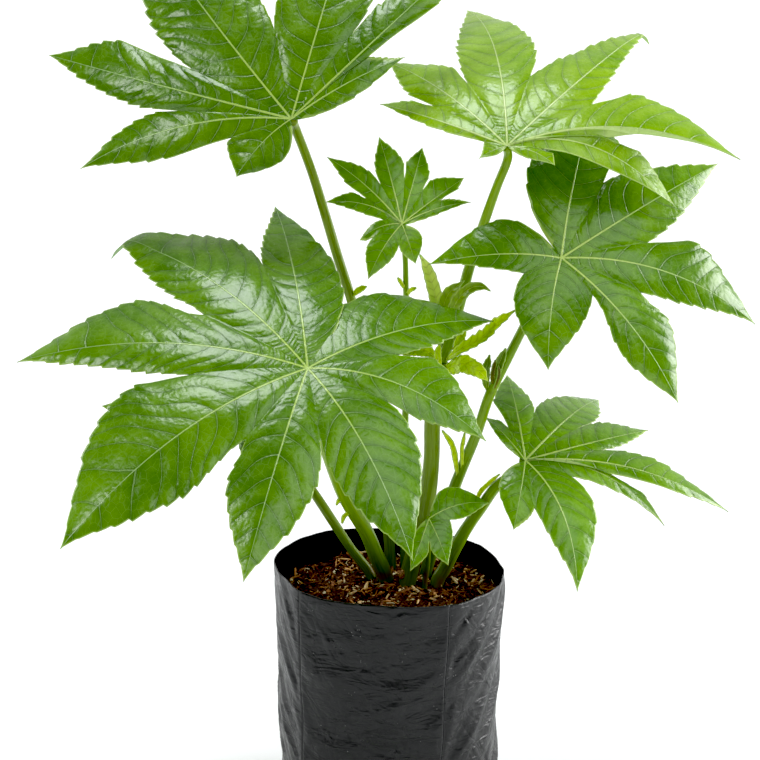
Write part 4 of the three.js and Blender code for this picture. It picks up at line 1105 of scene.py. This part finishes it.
def film_finish():
    """Black polythene film: soft gloss, fine drawn wrinkles, dusty scuffs and a few specks, with a painted highlight
    and a painted shade line along each fold.
    """
    finish, tree = new_finish("black polythene")
    around, level = uv_parts(tree, "film")
    fold, _ = uv_parts(tree, "fold")
    spots = use_group(tree, MOTTLE, Size=0.05)
    across, up = times(tree, around, LENGTH_MAP), times(tree, level, LENGTH_MAP)
    level_lines = ridges(tree, vector_of(tree, times(tree, across, 0.045), times(tree, up, 0.14)), 2.5)
    slant = summed(tree, (across, 0.06), (up, 0.03))
    crossed = ridges(tree, vector_of(tree, slant, times(tree, up, 0.05)), 2.0)
    dust = remap(tree, spots["Small"], 0.5, 0.8)
    speck = remap(tree, cell_distance(tree, across, up, 0.25), 0.08, 0.04)
    rare = remap(tree, noise(tree, vector_of(tree, around, level), 9.0, 2.0), 0.62, 0.68)
    # Along each fold, a pale band is a painted highlight and a dark line on the crease is painted shade; the crease
    # also makes the film rougher.
    crease = remap(tree, fold, 0.035, 0.012)
    colour = layered(
        tree, (0.013, 0.013, 0.0129), (dust, 0.5, (0.027, 0.027, 0.0268)),
        (times(tree, speck, rare), 1.0, (0.25, 0.25, 0.24)), (remap(tree, fold, 0.09, 0.04), 0.35, (0.07, 0.07, 0.07)),
        (crease, 0.85, (0.003, 0.003, 0.003)))
    rough = summed(tree, (remap(tree, level_lines, 0.0, 1.0, 0.37, 0.27), 1.0), (dust, 0.12), (crease, 0.35))
    height = summed(tree, (level_lines, 0.4), (crossed, 0.4), (spots["Grain"], 0.1))
    return dress(finish, colour, rough, height, 0.0009, 0.4)


def inside_finish():
    """The inner side of the film, painted darker than the outer side as painted shade, dusty and dull."""
    finish, tree = new_finish("black polythene inside painted shade")
    spots = use_group(tree, MOTTLE, Size=0.03)
    dusty = remap(tree, spots["Small"], 0.4, 0.8)
    colour = mix_colour(tree, dusty, (0.003, 0.003, 0.0032), (0.008, 0.0078, 0.0075))
    return dress(finish, colour, remap(tree, spots["Grain"], 0.3, 0.7, 0.6, 0.8), spots["Small"], 0.0012, 0.12)


def mix_finish():
    """Damp bark and peat: each chip has its own brown."""
    finish, tree = new_finish("bark mix")
    tone, other = uv_parts(tree, "chip")
    spots = use_group(tree, MOTTLE, Size=0.01)
    ramp = add_node(tree, "ShaderNodeValToRGB")
    bar = ramp.color_ramp
    while len(bar.elements) < len(BARK_BROWNS):
        bar.elements.new(0.5)
    for element, (at, colour) in zip(bar.elements, BARK_BROWNS):
        element.position, element.color = at, (*colour, 1)
    feed(tree, ramp.inputs[0], summed(tree, (tone, 1.0), (minus(tree, spots["Small"], 0.5), 0.35)))
    colour = layered(tree, ramp.outputs[0], (remap(tree, spots["Large"], 0.5, 0.7), 0.35, (0.012, 0.008, 0.006)))
    height = summed(tree, (spots["Small"], 1.0), (spots["Grain"], 0.4))
    return dress(finish, colour, remap(tree, other, 0.0, 1.0, 0.42, 0.85), height, 0.0008, 0.22)


WORN_SKIN = (0.2, 0.09, 0.025)
BARK_BROWNS = ((0.0, (0.04, 0.018, 0.016)), (0.35, (0.09, 0.038, 0.026)), (0.6, (0.24, 0.095, 0.045)),
               (0.78, (0.56, 0.24, 0.09)), (0.9, (0.92, 0.56, 0.25)), (1.0, (1.0, 0.92, 0.7)))
# Each leaf finish: its name, deep and fresh green, rib, vein, roughness and, where it isn't the usual, sheen
LEAF_COLOURS = {
    "light": ("leaf light green", (0.085, 0.22, 0.0025), (0.175, 0.36, 0.006), (0.5, 0.66, 0.16),
              (0.37, 0.56, 0.14), 0.3),
    "mid": ("leaf mid green", (0.066, 0.18, 0.0025), (0.145, 0.3, 0.005), (0.46, 0.62, 0.14),
            (0.34, 0.53, 0.15), 0.29),
    "green": ("leaf green", (0.054, 0.15, 0.0022), (0.12, 0.255, 0.0045), (0.4, 0.56, 0.12),
              (0.3, 0.48, 0.16), 0.29),
    "dark": ("leaf dark green", (0.055, 0.15, 0.003), (0.12, 0.25, 0.006), (0.36, 0.52, 0.1),
             (0.26, 0.42, 0.13), 0.31),
    "bright": ("leaf bright green", (0.14, 0.3, 0.003), (0.25, 0.43, 0.01), (0.55, 0.7, 0.24),
               (0.5, 0.68, 0.24), 0.3),
    "olive": ("young leaf olive", (0.12, 0.23, 0.003), (0.25, 0.4, 0.006), (0.4, 0.52, 0.1),
              (0.4, 0.54, 0.1), 0.36, 0.42),
    # The pale finish is partly the young blade's own lime green, partly painted light for light shining through it.
    "pale": ("young leaf pale", (0.44, 0.6, 0.07), (0.64, 0.8, 0.14), (0.74, 0.82, 0.3),
             (0.6, 0.7, 0.16), 0.42, 0.35),
    "dried": ("dried scale", (0.07, 0.08, 0.006), (0.17, 0.18, 0.015), (0.26, 0.26, 0.04),
              (0.1, 0.1, 0.015), 0.5, 0.25),
    # The young finish is partly the young blades' own lime green, partly painted light that lifts them out of the
    # shade of the leaves above and stands for light shining through them.
    "young": ("young leaf", (0.42, 0.62, 0.003), (0.66, 0.84, 0.012), (0.72, 0.84, 0.16),
              (0.62, 0.76, 0.04), 0.42, 0.3),
}
GREEN_BACKED = ("light", "mid", "green", "dark")

VEINS = vein_group()
MOTTLE = mottle_group()
UNDER_GREEN = underside_finish("leaf underside", (0.13, 0.27, 0.05), (0.19, 0.34, 0.08), (0.32, 0.46, 0.13))
UNDER_BRIGHT = underside_finish("leaf underside bright", (0.22, 0.4, 0.05), (0.3, 0.5, 0.08), (0.45, 0.6, 0.18))
LEAF_FINISHES = {key: [leaf_finish(*row), UNDER_GREEN if key in GREEN_BACKED else UNDER_BRIGHT]
                 for key, row in LEAF_COLOURS.items()}
# Each stem finish: its name, then foot, middle and streak colours; the foot colour is partly painted shade.
STEM_FINISHES = {
    "plain": stem_finish("stalk skin", (0.095, 0.105, 0.006), (0.18, 0.31, 0.01), (0.3, 0.45, 0.04)),
    "dark": stem_finish("stalk skin dark", (0.08, 0.09, 0.005), (0.15, 0.23, 0.008), (0.26, 0.36, 0.04)),
    "cane": stem_finish("cane skin", (0.1, 0.105, 0.006), (0.16, 0.25, 0.006), (0.25, 0.35, 0.02)),
}
FILM_FINISH = film_finish()
INSIDE_FINISH = inside_finish()
SCAR_FINISH = scar_finish()
MIX_FINISH = mix_finish()


# The plant
film_bag()
bark_mix()
stem_tube("cane", rooted(CANE["points"]), CANE["radii"], STEM_FINISHES["cane"], "main_cane")
for name, stalk in STALKS.items():
    leaf_stalk(name, stalk)
for name, leaf in LEAVES.items():
    leaf_blade(name, leaf)
for name, young in YOUNG.items():
    young_blade(name, *young, stands_for=name)
for name, scale in DRIED_SCALES.items():
    young_blade(name, *scale, slot="young_green")
leaf_scar()


# Floor, light and camera
def floor():
    mesh = bpy.data.meshes.new("floor")
    reach, front = 14.0, -6.0
    mesh.from_pydata([(-reach, front, 0), (reach, front, 0), (reach, reach, 0), (-reach, reach, 0)], [],
                     [[0, 1, 2, 3]])
    finish, tree = new_finish("pale floor")
    shader = tree.nodes["Principled BSDF"]
    patchy = use_group(tree, MOTTLE, Size=0.4)["Large"]
    colour = mix_colour(tree, patchy, (0.93, 0.93, 0.93), (0.95, 0.95, 0.95))
    tree.links.new(colour, shader.inputs["Base Color"])
    shader.inputs["Roughness"].default_value = 0.9
    mesh.materials.append(finish)
    made = new_object("floor", mesh)


def sun_from(name, turn, height, strength, spread, tint=(1.0, 1.0, 1.0)):
    """A large soft light far away; turn in degrees from the front towards +X."""
    data = bpy.data.lights.new(name, "SUN")
    data.color = tint
    data.energy = strength
    data.angle = math.radians(spread)
    new_object(name, data).rotation_euler = (math.radians(90 - height), 0, math.radians(turn))


COOL_LIGHT = (0.94, 0.98, 1.0)
floor()
sun_from("overhead light", -130, 82, 1.9, 28, COOL_LIGHT)
sun_from("left light", -58, 36, 0.85, 18)
sun_from("front light", 12, 28, 0.27, 18)
sun_from("right light", 47, 45, 0.85, 42, COOL_LIGHT)
sun_from("right rim light", 104, 10, 3.3, 40)
sun_from("left rim light", -118, 10, 0.9, 30)

world = bpy.data.worlds.new("studio")
world.use_nodes = True
sky = world.node_tree
towards = add_node(sky, "ShaderNodeSeparateXYZ")
sky.links.new(add_node(sky, "ShaderNodeTexCoord").outputs["Generated"], towards.inputs[0])
shade = remap(sky, towards.outputs["Y"], 0.1, 0.75)
around_room = mix_colour(sky, shade, (0.05, 0.05, 0.052), (0.7, 0.7, 0.7))
seen = add_node(sky, "ShaderNodeLightPath").outputs["Is Camera Ray"]
sky.links.new(mix_colour(sky, seen, around_room, (0.96, 0.96, 0.96)), sky.nodes["Background"].inputs["Color"])
bpy.context.scene.world = world
bpy.context.scene.view_settings.view_transform = "Standard"
bpy.context.scene.view_settings.use_curve_mapping = True
bpy.context.scene.view_settings.curve_mapping.black_level = (0.02, 0.02, 0.02)

# The camera stands as far off as the photograph's did. Sizes in millimetres and the photograph's pixels;
# the camera's place in metres.
VIEW_PITCH = 15.0
VIEW_DISTANCE = 1500
VIEW_PIXEL = 0.7
VIEW_WIDTH = 760
SENSOR_WIDTH = 36.0
CAMERA_PLACE = (-0.0067, -1.415, 0.6947)
camera_data = bpy.data.cameras.new("camera")
camera_data.sensor_width = SENSOR_WIDTH
camera_data.lens = SENSOR_WIDTH * VIEW_DISTANCE / VIEW_PIXEL / VIEW_WIDTH
camera_data.clip_end = 60.0
camera = new_object("camera", camera_data)
camera.location = CAMERA_PLACE
camera.rotation_euler = (math.radians(90 - VIEW_PITCH), 0, 0)
bpy.context.scene.camera = camera
